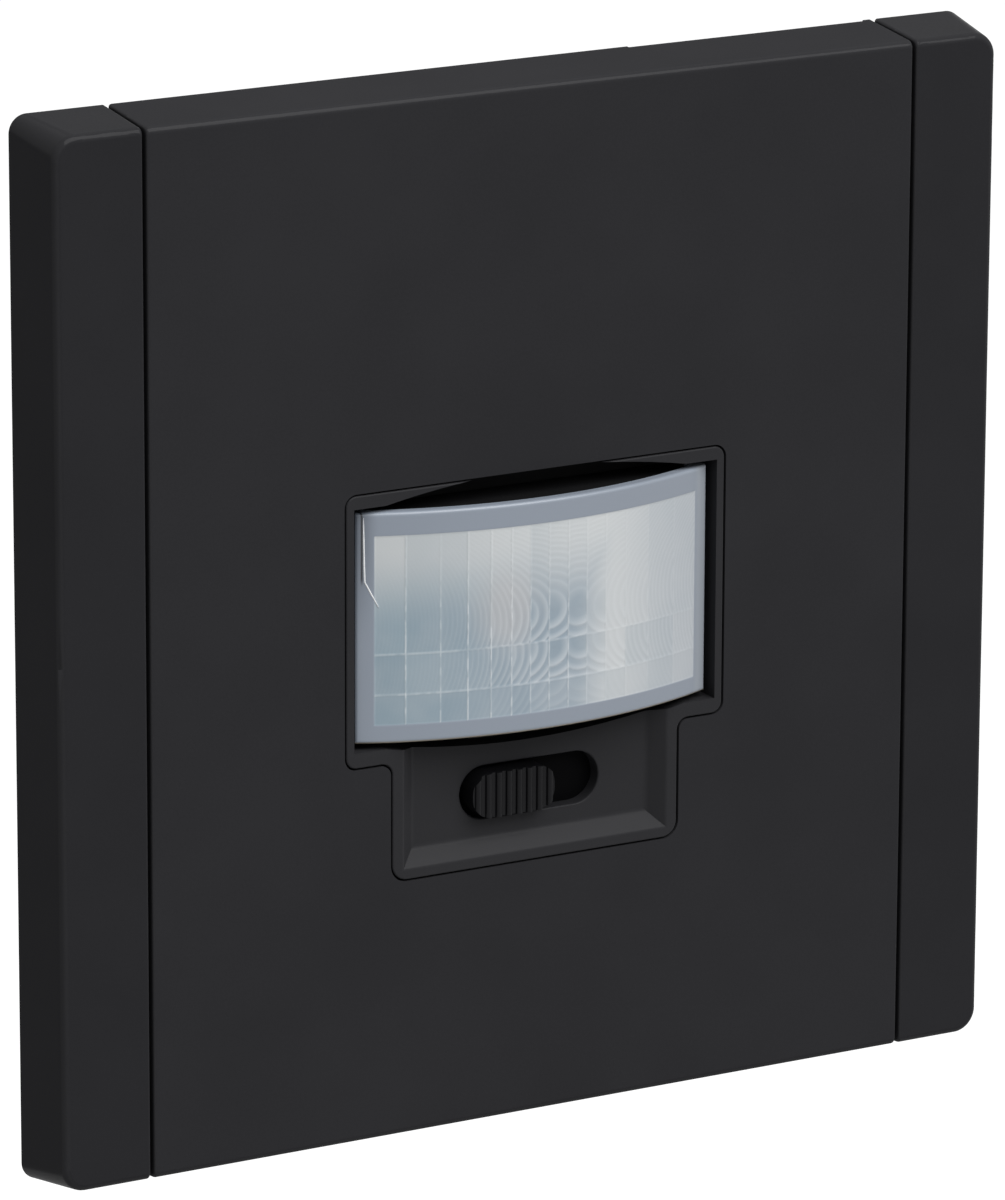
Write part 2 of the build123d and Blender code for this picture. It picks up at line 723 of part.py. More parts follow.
# Front shell: floor inside the strap's opening, flange in front of the strap, lip and screw bosses behind.
shroud_front_width = window_width + 2 * shroud_border
shroud_front_height = window_height + 2 * shroud_border
lip_width = 2 * (inner_half_width - lip_clearance)
lip_height = 2 * (inner_half_height - lip_clearance)
floor_front_reach = strap_thickness + flange_thickness
with BuildPart() as front_shell:
    rounded_block(case_width, case_height, case_corner_radius, shell_floor_rear, strap_thickness)
    rounded_block(flange_width, flange_height, case_corner_radius, strap_thickness, floor_front_reach)
    ring_width = flange_width - 2 * flange_ring
    ring_height = flange_height - 2 * flange_ring
    block(ring_width, ring_height, strap_thickness, floor_front_reach, mode=Mode.SUBTRACT)
    block(lip_width, lip_height, shell_floor_rear - lip_depth, shell_floor_rear)
    block(
        lip_width - 2 * lip_wall,
        lip_height - 2 * lip_wall,
        shell_floor_rear - lip_depth,
        shell_floor_rear,
        mode=Mode.SUBTRACT,
    )
    post(boss_radius, -column_top, shell_floor_rear, corner_columns)
    post(board_post_radius, board_front, shell_floor_rear, board_posts)
    guide_ribs = [(x * guide_rib_place, -slot_place) for x in (-1, 1)]
    block(guide_rib_width, guide_rib_height, strap_thickness, carriage_rear - slide_clearance, guide_ribs)
    block(
        shroud_front_width + 2 * head_clearance,
        shroud_front_height + 2 * head_clearance,
        shell_floor_rear - overrun,
        strap_thickness + overrun,
        mode=Mode.SUBTRACT,
    )
    fork_slot_length = 2 * (slide_step + fork_offset + fork_wall / 2 + head_clearance)
    fork_slot_height = fork_height + 2 * head_clearance
    block(
        fork_slot_length,
        fork_slot_height,
        shell_floor_rear - overrun,
        strap_thickness + overrun,
        slot_spot,
        Mode.SUBTRACT,
    )
    dial_hole = dial_radius + dial_hole_clearance
    post(dial_hole, shell_floor_rear - overrun, strap_thickness + overrun, trimmer_spots, Mode.SUBTRACT)
    rivet_hole = rivet_radius + rivet_clearance
    post(rivet_hole, shell_floor_rear - overrun, strap_thickness + overrun, rivets, Mode.SUBTRACT)
    case_pilot = case_screw_radius + screw_clearance
    pilot_top = -column_top + case_screw_length
    post(case_pilot, -column_top - overrun, pilot_top, corner_columns, Mode.SUBTRACT)
    board_pilot = board_screw_radius + screw_clearance
    post(board_pilot, board_front - overrun, board_front + board_screw_length, board_posts, Mode.SUBTRACT)
front_shell.part.label = "front_shell"
export_step(front_shell.part, "parts/front_shell.step")

# Rear housing: deep tub for the wall box, with screw columns, board posts, terminal chambers and ears.
chamber_half = cage_width / 2 + chamber_clearance
wall_spots = [
    (place + side * (chamber_half + chamber_wall / 2), -(chamber_top + inner_half_height) / 2)
    for place in terminal_spots
    for side in (-1, 1)
]
counterbore_radius = case_screw_head_radius + head_clearance
counterbore_top = -column_top - column_web
with BuildPart() as rear_housing:
    rounded_block(case_width, case_height, case_corner_radius, -case_depth, shell_floor_rear)
    fillet(rear_housing.faces().sort_by(Axis.Y)[-1].edges(), case_edge_radius)
    block(2 * inner_half_width, 2 * inner_half_height, case_inner_rear, shell_floor_rear, mode=Mode.SUBTRACT)
    post(column_radius, case_inner_rear, -column_top, corner_columns)
    post(board_post_radius, case_inner_rear, power_rear, power_posts)
    post(foot_radius, case_inner_rear, power_rear, feet)
    block(chamber_wall, inner_half_height - chamber_top, case_inner_rear, -chamber_front, wall_spots)
    shelf_spots = [(place, -shelf_place) for place in terminal_spots]
    shelf_front = -terminal_depth + cage_depth / 2
    block(2 * chamber_half, shelf_thickness, case_inner_rear, shelf_front, shelf_spots)
    ear_middle = (case_height + ear_reach) / 2
    ear_spots = [(x * ear_place, z * ear_middle) for x in (-1, 1) for z in (-1, 1)]
    block(ear_width, ear_reach, -ear_thickness, 0, ear_spots)
    post(counterbore_radius, -case_depth - overrun, counterbore_top, corner_columns, Mode.SUBTRACT)
    post(case_pilot, counterbore_top, overrun - column_top, corner_columns, Mode.SUBTRACT)
    post(board_pilot, case_inner_rear, power_rear + overrun, power_posts, Mode.SUBTRACT)
    wire_spots = [(place, -tongue_top + wire_gap / 2) for place in terminal_spots]
    post(wire_hole_radius, -case_depth - overrun, case_inner_rear + overrun, wire_spots, Mode.SUBTRACT)
    for place in terminal_spots:
        with BuildSketch(Plane.XY.offset(-case_height / 2 - overrun)) as access:
            with Locations((place, terminal_depth)):
                Circle(access_hole_radius)
        extrude(access.sketch, amount=case_wall + 2 * overrun, mode=Mode.SUBTRACT)
        with BuildSketch(Plane.XY.offset(-shelf_place - shelf_thickness)) as shank_hole:
            with Locations((place, terminal_depth)):
                Circle(terminal_screw_radius + shaft_clearance)
        extrude(shank_hole.sketch, amount=2 * shelf_thickness, mode=Mode.SUBTRACT)
rear_housing.part.label = "rear_housing"
export_step(rear_housing.part, "parts/rear_housing.step")

# Casing screws: four, driven from the rear through the columns into the front shell's bosses.
head_rear = counterbore_top - case_screw_head_thickness
with BuildPart() as housing_screws:
    post(case_screw_head_radius, head_rear, counterbore_top, corner_columns)
    post(case_screw_radius, counterbore_top, pilot_top - head_clearance, corner_columns)
    slot_tip = head_rear + cross_slot_depth
    long_slot = 2 * case_screw_head_radius - cross_slot_width
    block(long_slot, cross_slot_width, head_rear, slot_tip, corner_columns, Mode.SUBTRACT)
    block(cross_slot_width, long_slot, head_rear, slot_tip, corner_columns, Mode.SUBTRACT)
housing_screws.part.label = "housing_screws"
export_step(housing_screws.part, "parts/housing_screws.step")

# Optic shroud: four-sided funnel from the lens carrier down to the sensor board.
shroud_front = strap_thickness - shroud_gap
with BuildPart() as optic_shroud:
    with BuildSketch(layer(board_front)) as rear_outline:
        Rectangle(shroud_rear_width, shroud_rear_height)
    with BuildSketch(layer(shroud_front)) as front_outline:
        Rectangle(shroud_front_width, shroud_front_height)
    loft([rear_outline.sketch, front_outline.sketch])
    with BuildSketch(layer(board_front)) as rear_bore:
        Rectangle(shroud_rear_width - 2 * shroud_wall, shroud_rear_height - 2 * shroud_wall)
    with BuildSketch(layer(shroud_front)) as front_bore:
        Rectangle(shroud_front_width - 2 * shroud_wall, shroud_front_height - 2 * shroud_wall)
    loft([rear_bore.sketch, front_bore.sketch], mode=Mode.SUBTRACT)
optic_shroud.part.label = "optic_shroud"
export_step(optic_shroud.part, "parts/optic_shroud.step")

# Sensor board: behind the front shell, on its two posts, with holes for pins and screws.
notch_x = board_half_width - board_notch / 2
notch_z = board_half_height - board_notch / 2
board_notches = [(x * notch_x, z * notch_z) for x in (-1, 1) for z in (-1, 1)]
sensor_pins = [
    (sensor_pin_circle * math.cos(turn), sensor_pin_circle * math.sin(turn))
    for turn in (math.radians(90), math.radians(210), math.radians(330))
]
header_start = -(header_pins_count - 1) / 2
header_spots = [((header_start + index) * header_pitch, header_place) for index in range(header_pins_count)]
pin_start = -(switch_pin_count - 1) / 2
switch_pins = [((pin_start + index) * switch_pin_pitch, -slot_place) for index in range(switch_pin_count)]
with BuildPart() as sensor_board:
    block(2 * board_half_width, 2 * board_half_height, board_rear, board_front)
    block(board_notch, board_notch, board_rear, board_front, board_notches, Mode.SUBTRACT)
    post(board_pilot, board_rear, board_front, board_posts, Mode.SUBTRACT)
    post(sensor_pin_radius + screw_clearance, board_rear, board_front, sensor_pins, Mode.SUBTRACT)
    post(pin_radius + screw_clearance, board_rear, board_front, switch_pins, Mode.SUBTRACT)
    pin_hole = header_pin_width + 2 * header_pin_clearance
    block(pin_hole, pin_hole, board_rear, board_front, header_spots, Mode.SUBTRACT)
sensor_board.part.label = "sensor_board"
export_step(sensor_board.part, "parts/sensor_board.step")

# Sensor board screws: two, from behind into the front shell's posts.
with BuildPart() as sensor_board_screws:
    post(board_screw_head_radius, board_rear - board_screw_head_thickness, board_rear, board_posts)
    post(board_screw_radius, board_rear, board_front + board_screw_length - head_clearance, board_posts)
    block(
        2 * board_screw_head_radius - cross_slot_width,
        cross_slot_width,
        board_rear - board_screw_head_thickness,
        board_rear - board_screw_head_thickness / 2,
        board_posts,
        Mode.SUBTRACT,
    )
sensor_board_screws.part.label = "sensor_board_screws"
export_step(sensor_board_screws.part, "parts/sensor_board_screws.step")

# Pyroelectric sensor: header disc, metal cap with a window, filter behind the window, three pins.
can_low = board_front + sensor_base_thickness
can_high = can_low + sensor_can_height
with BuildPart() as pir_base:
    post(sensor_base_radius, board_front, can_low)
pir_base.part.label = "pir_base"
export_step(pir_base.part, "parts/pir_base.step")

with BuildPart() as pir_can:
    post(sensor_can_radius, can_low, can_high)
    fillet(pir_can.faces().sort_by(Axis.Y)[0].edges(), sensor_can_edge_radius)
    post(sensor_can_radius - sensor_can_wall, can_low, can_high - sensor_can_wall, mode=Mode.SUBTRACT)
    cut_width = filter_width - 2 * filter_border
    cut_height = filter_height - 2 * filter_border
    block(cut_width, cut_height, can_low, can_high + overrun, mode=Mode.SUBTRACT)
pir_can.part.label = "pir_can"
export_step(pir_can.part, "parts/pir_can.step")

with BuildPart() as pir_window:
    filter_top = can_high - sensor_can_wall
    block(filter_width, filter_height, filter_top - filter_thickness, filter_top)
pir_window.part.label = "pir_window"
export_step(pir_window.part, "parts/pir_window.step")

with BuildPart() as pir_pins:
    post(sensor_pin_radius, board_front - sensor_pin_length, board_front, sensor_pins)
pir_pins.part.label = "pir_pins"
export_step(pir_pins.part, "parts/pir_pins.step")

# Photocell beside the sensor, which keeps the lamp off by day.
with BuildPart() as light_sensor:
    post(photocell_radius, board_front, board_front + photocell_height, [(-photocell_place, 0)])
    fillet(light_sensor.faces().sort_by(Axis.Y)[0].edges(), photocell_edge_radius)
light_sensor.part.label = "light_sensor"
export_step(light_sensor.part, "parts/light_sensor.step")

# Slide switch: three-position case, its lever in the carriage's fork, four solder pins.
switch_front = board_front + switch_depth
lever_foot = board_front + 2 * switch_wall
with BuildPart() as slide_switch_case:
    block(switch_length, switch_height, board_front, switch_front, slot_spot)
    lever_room = 2 * slide_step + lever_width + 2 * head_clearance
    lever_slot = lever_height + 2 * slide_clearance
    block(lever_room, lever_slot, board_front + switch_wall, switch_front, slot_spot, Mode.SUBTRACT)
slide_switch_case.part.label = "slide_switch_case"
export_step(slide_switch_case.part, "parts/slide_switch_case.step")

with BuildPart() as slide_switch_lever:
    block(lever_width, lever_height, lever_foot - switch_wall + slide_clearance, lever_tip, knob_spot)
slide_switch_lever.part.label = "slide_switch_lever"
export_step(slide_switch_lever.part, "parts/slide_switch_lever.step")

with BuildPart() as slide_switch_pins:
    post(pin_radius, board_rear - pin_tail, board_front, switch_pins)
slide_switch_pins.part.label = "slide_switch_pins"
export_step(slide_switch_pins.part, "parts/slide_switch_pins.step")

# Trimmers: one for the time the lamp stays on and one for the light level, each a case and a dial.
trimmer_front = board_front + trimmer_height
shaft_foot = trimmer_front - dial_shaft_length


def trimmer_case(spot):
    """Square trimmer case with the bearing hole for its dial."""
    with BuildPart() as case:
        block(trimmer_size, trimmer_size, board_front, trimmer_front, [spot])
        bearing = dial_shaft_radius + shaft_clearance
        post(bearing, shaft_foot - dial_lift, trimmer_front, [spot], Mode.SUBTRACT)
    return case.part


def trimmer_dial(spot):
    """Dial reached with a screwdriver, its head in the front shell's hole."""
    with BuildPart() as dial:
        post(dial_radius, trimmer_front + dial_lift, dial_top, [spot])
        fillet(dial.faces().sort_by(Axis.Y)[0].edges(), dial_edge_radius)
        post(dial_shaft_radius, shaft_foot, trimmer_front + dial_lift, [spot])
        block(dial_slot_width, dial_slot_length, dial_top - dial_slot_depth, dial_top, [spot], Mode.SUBTRACT)
    return dial.part


for name, spot in zip(("time", "lux"), trimmer_spots):
    case_part = trimmer_case(spot)
    case_part.label = name + "_trimmer_case"
    export_step(case_part, "parts/" + name + "_trimmer_case.step")
    dial_part = trimmer_dial(spot)
    dial_part.label = name + "_dial"
    export_step(dial_part, "parts/" + name + "_dial.step")

# Control chip on the back of the sensor board, with a row of leads on each side.
with BuildPart() as control_chip:
    chip_rear = board_rear - chip_lift - chip_height
    block(chip_length, chip_width, chip_rear, board_rear - chip_lift, [chip_place])
    lead_z = (chip_width + chip_lead_reach) / 2
    leads = [
        (chip_place[0] + (index - (chip_leads - 1) / 2) * chip_lead_pitch, chip_place[1] + side * lead_z)
        for index in range(chip_leads)
        for side in (-1, 1)
    ]
    block(chip_lead_width, chip_lead_reach, board_rear - chip_lead_height, board_rear, leads)
control_chip.part.label = "control_chip"
export_step(control_chip.part, "parts/control_chip.step")

with BuildPart() as board_capacitor:
    capacitor_rear = board_rear - board_capacitor_height
    post(board_capacitor_radius, capacitor_rear, board_rear, [board_capacitor_place])
    fillet(board_capacitor.faces().sort_by(Axis.Y)[-1].edges(), can_edge_radius)
board_capacitor.part.label = "board_capacitor"
export_step(board_capacitor.part, "parts/board_capacitor.step")

# Link between the boards: two pin blocks and six pins through both boards.
header_spot = [(0, header_place)]
header_length = header_pins_count * header_pitch
with BuildPart() as header_blocks:
    block(header_length, header_pitch, board_rear - header_block_height, board_rear, header_spot)
    block(header_length, header_pitch, power_front, power_front + header_block_height, header_spot)
    block(pin_hole, pin_hole, power_front, board_rear, header_spots, Mode.SUBTRACT)
header_blocks.part.label = "header_blocks"
export_step(header_blocks.part, "parts/header_blocks.step")

with BuildPart() as header_pins:
    pins_low = power_rear - header_pin_tail
    block(header_pin_width, header_pin_width, pins_low, board_front + header_pin_tail, header_spots)
header_pins.part.label = "header_pins"
export_step(header_pins.part, "parts/header_pins.step")

# Power board: cut short at the bottom to leave room for the terminals.
power_middle = (board_half_height - power_board_bottom) / 2
power_tall = board_half_height + power_board_bottom
with BuildPart() as power_board:
    block(2 * board_half_width, power_tall, power_rear, power_front, [(0, power_middle)])
    block(board_notch, board_notch, power_rear, power_front, board_notches, Mode.SUBTRACT)
    block(pin_hole, pin_hole, power_rear, power_front, header_spots, Mode.SUBTRACT)
    post(board_pilot, power_rear, power_front, power_posts, Mode.SUBTRACT)
power_board.part.label = "power_board"
export_step(power_board.part, "parts/power_board.step")

with BuildPart() as power_board_screws:
    power_head = power_front + board_screw_head_thickness
    post(board_screw_head_radius, power_front, power_head, power_posts)
    post(board_screw_radius, case_inner_rear + head_clearance, power_front, power_posts)
    block(
        2 * board_screw_head_radius - cross_slot_width,
        cross_slot_width,
        power_head - board_screw_head_thickness / 2,
        power_head,
        power_posts,
        Mode.SUBTRACT,
    )
power_board_screws.part.label = "power_board_screws"
export_step(power_board_screws.part, "parts/power_board_screws.step")

# Heat sink: aluminium plate standing on the power board, with the triac screwed flat against it.
sink_middle = heat_sink_place + heat_sink_thickness / 2
triac_low = power_front + triac_lift
triac_high = triac_low + triac_height
triac_middle = heat_sink_place - triac_thickness / 2
screw_height = triac_high - triac_hole_drop
with BuildPart() as heat_sink:
    sink_top = power_front + heat_sink_height
    block(heat_sink_width, heat_sink_thickness, power_front, sink_top, [(0, sink_middle)])
    with BuildSketch(Plane.XY.offset(heat_sink_place - overrun)) as sink_hole:
        with Locations((0, -screw_height)):
            Circle(triac_screw_radius + screw_clearance)
    extrude(sink_hole.sketch, amount=heat_sink_thickness + 2 * overrun, mode=Mode.SUBTRACT)
heat_sink.part.label = "heat_sink"
export_step(heat_sink.part, "parts/heat_sink.step")

with BuildPart() as triac:
    block(triac_width, triac_thickness, triac_low, triac_high, [(0, triac_middle)])
    triac_leads = [(index * triac_lead_pitch, triac_middle) for index in (-1, 0, 1)]
    block(triac_lead_width, triac_lead_width, power_front, triac_low, triac_leads)
    with BuildSketch(Plane.XY.offset(heat_sink_place - triac_thickness - overrun)) as triac_hole:
        with Locations((0, -screw_height)):
            Circle(triac_screw_radius + screw_clearance)
    extrude(triac_hole.sketch, amount=triac_thickness + 2 * overrun, mode=Mode.SUBTRACT)
triac.part.label = "triac"
export_step(triac.part, "parts/triac.step")

with BuildPart() as triac_screw:
    triac_face = heat_sink_place - triac_thickness
    with BuildSketch(Plane.XY.offset(triac_face - triac_screw_head_thickness)) as screw_head:
        with Locations((0, -screw_height)):
            Circle(triac_screw_head_radius)
    extrude(screw_head.sketch, amount=triac_screw_head_thickness)
    with BuildSketch(Plane.XY.offset(triac_face)) as screw_shank:
        with Locations((0, -screw_height)):
            Circle(triac_screw_radius)
    extrude(screw_shank.sketch, amount=triac_thickness + heat_sink_thickness)
triac_screw.part.label = "triac_screw"
export_step(triac_screw.part, "parts/triac_screw.step")

# Mains parts on the power board.
with BuildPart() as mains_fuse:
    post(fuse_radius, power_front, power_front + fuse_height, [fuse_place])
    fillet(mains_fuse.faces().sort_by(Axis.Y)[0].edges(), can_edge_radius)
mains_fuse.part.label = "mains_fuse"
export_step(mains_fuse.part, "parts/mains_fuse.step")

with BuildPart() as film_capacitor:
    block(film_length, film_width, power_front, power_front + film_height, [film_place])
    fillet(film_capacitor.edges().filter_by(Axis.Y), film_edge_radius)
film_capacitor.part.label = "film_capacitor"
export_step(film_capacitor.part, "parts/film_capacitor.step")

choke_top = power_front + choke_height
with BuildPart() as choke_core:
    post(choke_radius, power_front, power_front + choke_flange, [choke_place])
    post(choke_core_radius, power_front + choke_flange, choke_top - choke_flange, [choke_place])
    post(choke_radius, choke_top - choke_flange, choke_top, [choke_place])
choke_core.part.label = "choke_core"
export_step(choke_core.part, "parts/choke_core.step")

with BuildPart() as choke_winding:
    winding_low = power_front + choke_flange + choke_clearance
    winding_high = choke_top - choke_flange - choke_clearance
    post(choke_winding_radius, winding_low, winding_high, [choke_place])
    winding_bore = choke_core_radius + choke_clearance
    post(winding_bore, winding_low, winding_high, [choke_place], Mode.SUBTRACT)
choke_winding.part.label = "choke_winding"
export_step(choke_winding.part, "parts/choke_winding.step")

with BuildPart() as smoothing_capacitor:
    post(smoothing_radius, power_front, power_front + smoothing_height, [smoothing_place])
    fillet(smoothing_capacitor.faces().sort_by(Axis.Y)[0].edges(), can_edge_radius)
smoothing_capacitor.part.label = "smoothing_capacitor"
export_step(smoothing_capacitor.part, "parts/smoothing_capacitor.step")

with BuildPart() as varistor:
    disc_height = power_front + varistor_lift + varistor_radius
    with BuildSketch(Plane.YZ.offset(varistor_place[0] - varistor_thickness / 2)) as disc:
        with Locations((-disc_height, varistor_place[1])):
            Circle(varistor_radius)
    extrude(disc.sketch, amount=varistor_thickness)
    fillet(varistor.edges().filter_by(GeomType.CIRCLE), varistor_edge_radius)
    varistor_leads = [(varistor_place[0], varistor_place[1] + side * varistor_lead_spread) for side in (-1, 1)]
    post(pin_radius, power_front, disc_height, varistor_leads)
varistor.part.label = "varistor"
export_step(varistor.part, "parts/varistor.step")

with BuildPart() as bridge_rectifier:
    bridge_low = power_front + bridge_lift
    block(bridge_length, bridge_width, bridge_low, bridge_low + bridge_height, [bridge_place])
    bridge_leads = [
        (bridge_place[0] + x * bridge_lead_pitch / 2, bridge_place[1] + z * (bridge_width - bridge_lead_width) / 2)
        for x in (-1, 1)
        for z in (-1, 1)
    ]
    block(bridge_lead_width, bridge_lead_width, power_front, bridge_low, bridge_leads)
bridge_rectifier.part.label = "bridge_rectifier"
export_step(bridge_rectifier.part, "parts/bridge_rectifier.step")

# Contact bars: a flat tongue through each cage, bent up and back to a foot on the power board.
with BuildPart() as contact_bars:
    for place in terminal_spots:
        with BuildSketch(Plane.YZ.offset(place - tongue_width / 2)) as strip:
            with BuildLine():
                Polyline(
                    (-case_inner_rear, -tongue_top),
                    (tongue_front + tongue_thickness, -tongue_top),
                    (tongue_front + tongue_thickness, -bar_top - tongue_thickness),
                    (-power_front, -bar_top - tongue_thickness),
                    (-power_front, -bar_top),
                    (tongue_front, -bar_top),
                    (tongue_front, -tongue_top - tongue_thickness),
                    (-case_inner_rear, -tongue_top - tongue_thickness),
                    close=True,
                )
            make_face()
        extrude(strip.sketch, amount=tongue_width)
contact_bars.part.label = "contact_bars"
export_step(contact_bars.part, "parts/contact_bars.step")


def terminal_cage(place):
    """Square clamp cage round the tongue, with the threaded hole in its bottom wall."""
    middle = -(cage_top + cage_bottom) / 2
    low = -terminal_depth - cage_depth / 2
    high = -terminal_depth + cage_depth / 2
    with BuildPart() as cage:
        block(cage_width, cage_bottom - cage_top, low, high, [(place, middle)])
        block(
            cage_width - 2 * cage_wall,
            cage_inner_height,
            low - overrun,
            high + overrun,
            [(place, middle)],
            Mode.SUBTRACT,
        )
        with BuildSketch(Plane.XY.offset(-cage_bottom - overrun)) as thread:
            with Locations((place, terminal_depth)):
                Circle(terminal_screw_radius + shaft_clearance)
        extrude(thread.sketch, amount=cage_wall + 2 * overrun, mode=Mode.SUBTRACT)
    return cage.part


def terminal_screw(place):
    """Captive screw: its head between the housing wall and a shelf, its tip at the tongue."""
    head_bottom = head_top + terminal_head_thickness
    tip = -tongue_top - tongue_thickness - tip_clearance
    with BuildPart() as screw:
        with BuildSketch(Plane.XY.offset(-head_bottom)) as head:
            with Locations((place, terminal_depth)):
                Circle(terminal_head_radius)
        extrude(head.sketch, amount=terminal_head_thickness)
        with BuildSketch(Plane.XY.offset(-head_top)) as shank:
            with Locations((place, terminal_depth)):
                Circle(terminal_screw_radius)
        extrude(shank.sketch, amount=tip + head_top)
        with BuildSketch(Plane.XY.offset(-head_bottom)) as driver_slot:
            with Locations((place, terminal_depth)):
                Rectangle(2 * terminal_head_radius + overrun, terminal_slot_width)
        extrude(driver_slot.sketch, amount=terminal_slot_depth, mode=Mode.SUBTRACT)
    return screw.part


for name, place in zip(("line", "load"), terminal_spots):
    cage_part = terminal_cage(place)
    cage_part.label = name + "_cage"
    export_step(cage_part, "parts/" + name + "_cage.step")
    screw_part = terminal_screw(place)
    screw_part.label = name + "_screw"
    export_step(screw_part, "parts/" + name + "_screw.step")

print("cage travel", cage_travel, "mm in", cage_travel / thread_pitch, "turns")
print("screw head clearance to the wall", inner_half_height - head_top - terminal_head_thickness)
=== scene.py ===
# %% [markdown]
# # A motion sensor light switch, dressed for the light
# The imported model gives every hard part of the switch in metres, already in place. This lesson adds
# what the solids can't show: the pressed pattern of the lens, wound wire, printed boards, and the
# finish of every plastic, metal and resin. The frame is loaded first. Nothing that is added may make
# the switch larger.

# %% Load the frame
import math
import random

import bmesh
import bpy
from mathutils import Euler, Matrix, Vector


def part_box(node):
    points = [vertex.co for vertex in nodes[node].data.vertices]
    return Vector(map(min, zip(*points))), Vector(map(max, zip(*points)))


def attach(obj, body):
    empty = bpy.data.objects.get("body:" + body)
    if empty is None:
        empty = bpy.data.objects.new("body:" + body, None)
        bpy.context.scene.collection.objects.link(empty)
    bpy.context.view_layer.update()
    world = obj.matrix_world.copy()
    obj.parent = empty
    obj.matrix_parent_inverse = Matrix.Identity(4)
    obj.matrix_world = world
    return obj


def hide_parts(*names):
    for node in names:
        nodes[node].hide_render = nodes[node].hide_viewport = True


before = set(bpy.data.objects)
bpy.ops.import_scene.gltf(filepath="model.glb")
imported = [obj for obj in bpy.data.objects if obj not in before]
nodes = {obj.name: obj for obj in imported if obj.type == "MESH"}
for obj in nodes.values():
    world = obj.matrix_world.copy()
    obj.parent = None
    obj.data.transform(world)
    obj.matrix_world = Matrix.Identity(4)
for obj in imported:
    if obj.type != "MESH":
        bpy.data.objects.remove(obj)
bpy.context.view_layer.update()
scene = bpy.context.scene
mm = 0.001

# %% [markdown]
# ## Camera
# The photo was taken from the upper left with a long lens, so the plate's edges stay nearly
# parallel. A camera is placed by its distance along the view line, then turned by yaw, pitch and a
# slight roll. The field of view comes from the focal length in pixels of the 1200 pixel high image.

# %% Place the camera
IMAGE_HEIGHT = 1200
FOCAL_PIXELS = 8100.9
CAMERA_PLACE = Vector((-0.30768, -0.54475, 0.17322))
CAMERA_YAW = math.radians(29.494)
CAMERA_PITCH = math.radians(15.568)
CAMERA_ROLL = math.radians(0.237)
SENSOR = 36.0
lens_data = bpy.data.cameras.new("photo_camera")
lens_data.sensor_fit = "VERTICAL"
lens_data.sensor_height = SENSOR
lens_data.lens = FOCAL_PIXELS / IMAGE_HEIGHT * SENSOR
camera = bpy.data.objects.new("photo_camera", lens_data)
camera.location = CAMERA_PLACE
level = Euler((math.pi / 2 - CAMERA_PITCH, 0, -CAMERA_YAW), "XYZ").to_matrix()
tilt = Euler((0, 0, CAMERA_ROLL), "XYZ").to_matrix()
camera.rotation_euler = (level @ tilt).to_euler()
scene.collection.objects.link(camera)
scene.camera = camera
scene.view_settings.view_transform = "Standard"
print("lens", round(lens_data.lens, 1), "mm on a", SENSOR, "mm sensor")

# %% [markdown]
# ## Shader sums
# A finish is a small graph of nodes. Wiring Math nodes by hand is slow to read, so a socket is
# wrapped in a class whose operators add the Math node that the sum needs. Both ways round are
# there, so that 1 - mask works as mask - 1 does.

# %% A socket that takes part in sums
class Field:
    """A number that changes over a surface: the output socket of a node."""

    def __init__(self, finish, socket):
        self.finish = finish
        self.socket = socket

    def sum(self, operation, first, second):
        return self.finish.add("Math", {"operation": operation}, {0: first, 1: second})

    def __add__(self, other):
        return self.sum("ADD", self, other)

    def __radd__(self, other):
        return self.sum("ADD", other, self)

    def __sub__(self, other):
        return self.sum("SUBTRACT", self, other)

    def __rsub__(self, other):
        return self.sum("SUBTRACT", other, self)

    def __mul__(self, other):
        return self.sum("MULTIPLY", self, other)

    def __rmul__(self, other):
        return self.sum("MULTIPLY", other, self)

    def __pow__(self, other):
        return self.sum("POWER", self, other)

    def above(self, edge):
        return self.sum("GREATER_THAN", self, edge)


print("sums that add nodes:", "+ - * ** above")

# %% [markdown]
# ## A finish
# Every other node comes from one method. It takes the node's type, its settings, which are set
# before anything is linked, and the values or links of its sockets. Places are measured on the
# object itself in metres, so the grain moves with a part and keeps its real size.

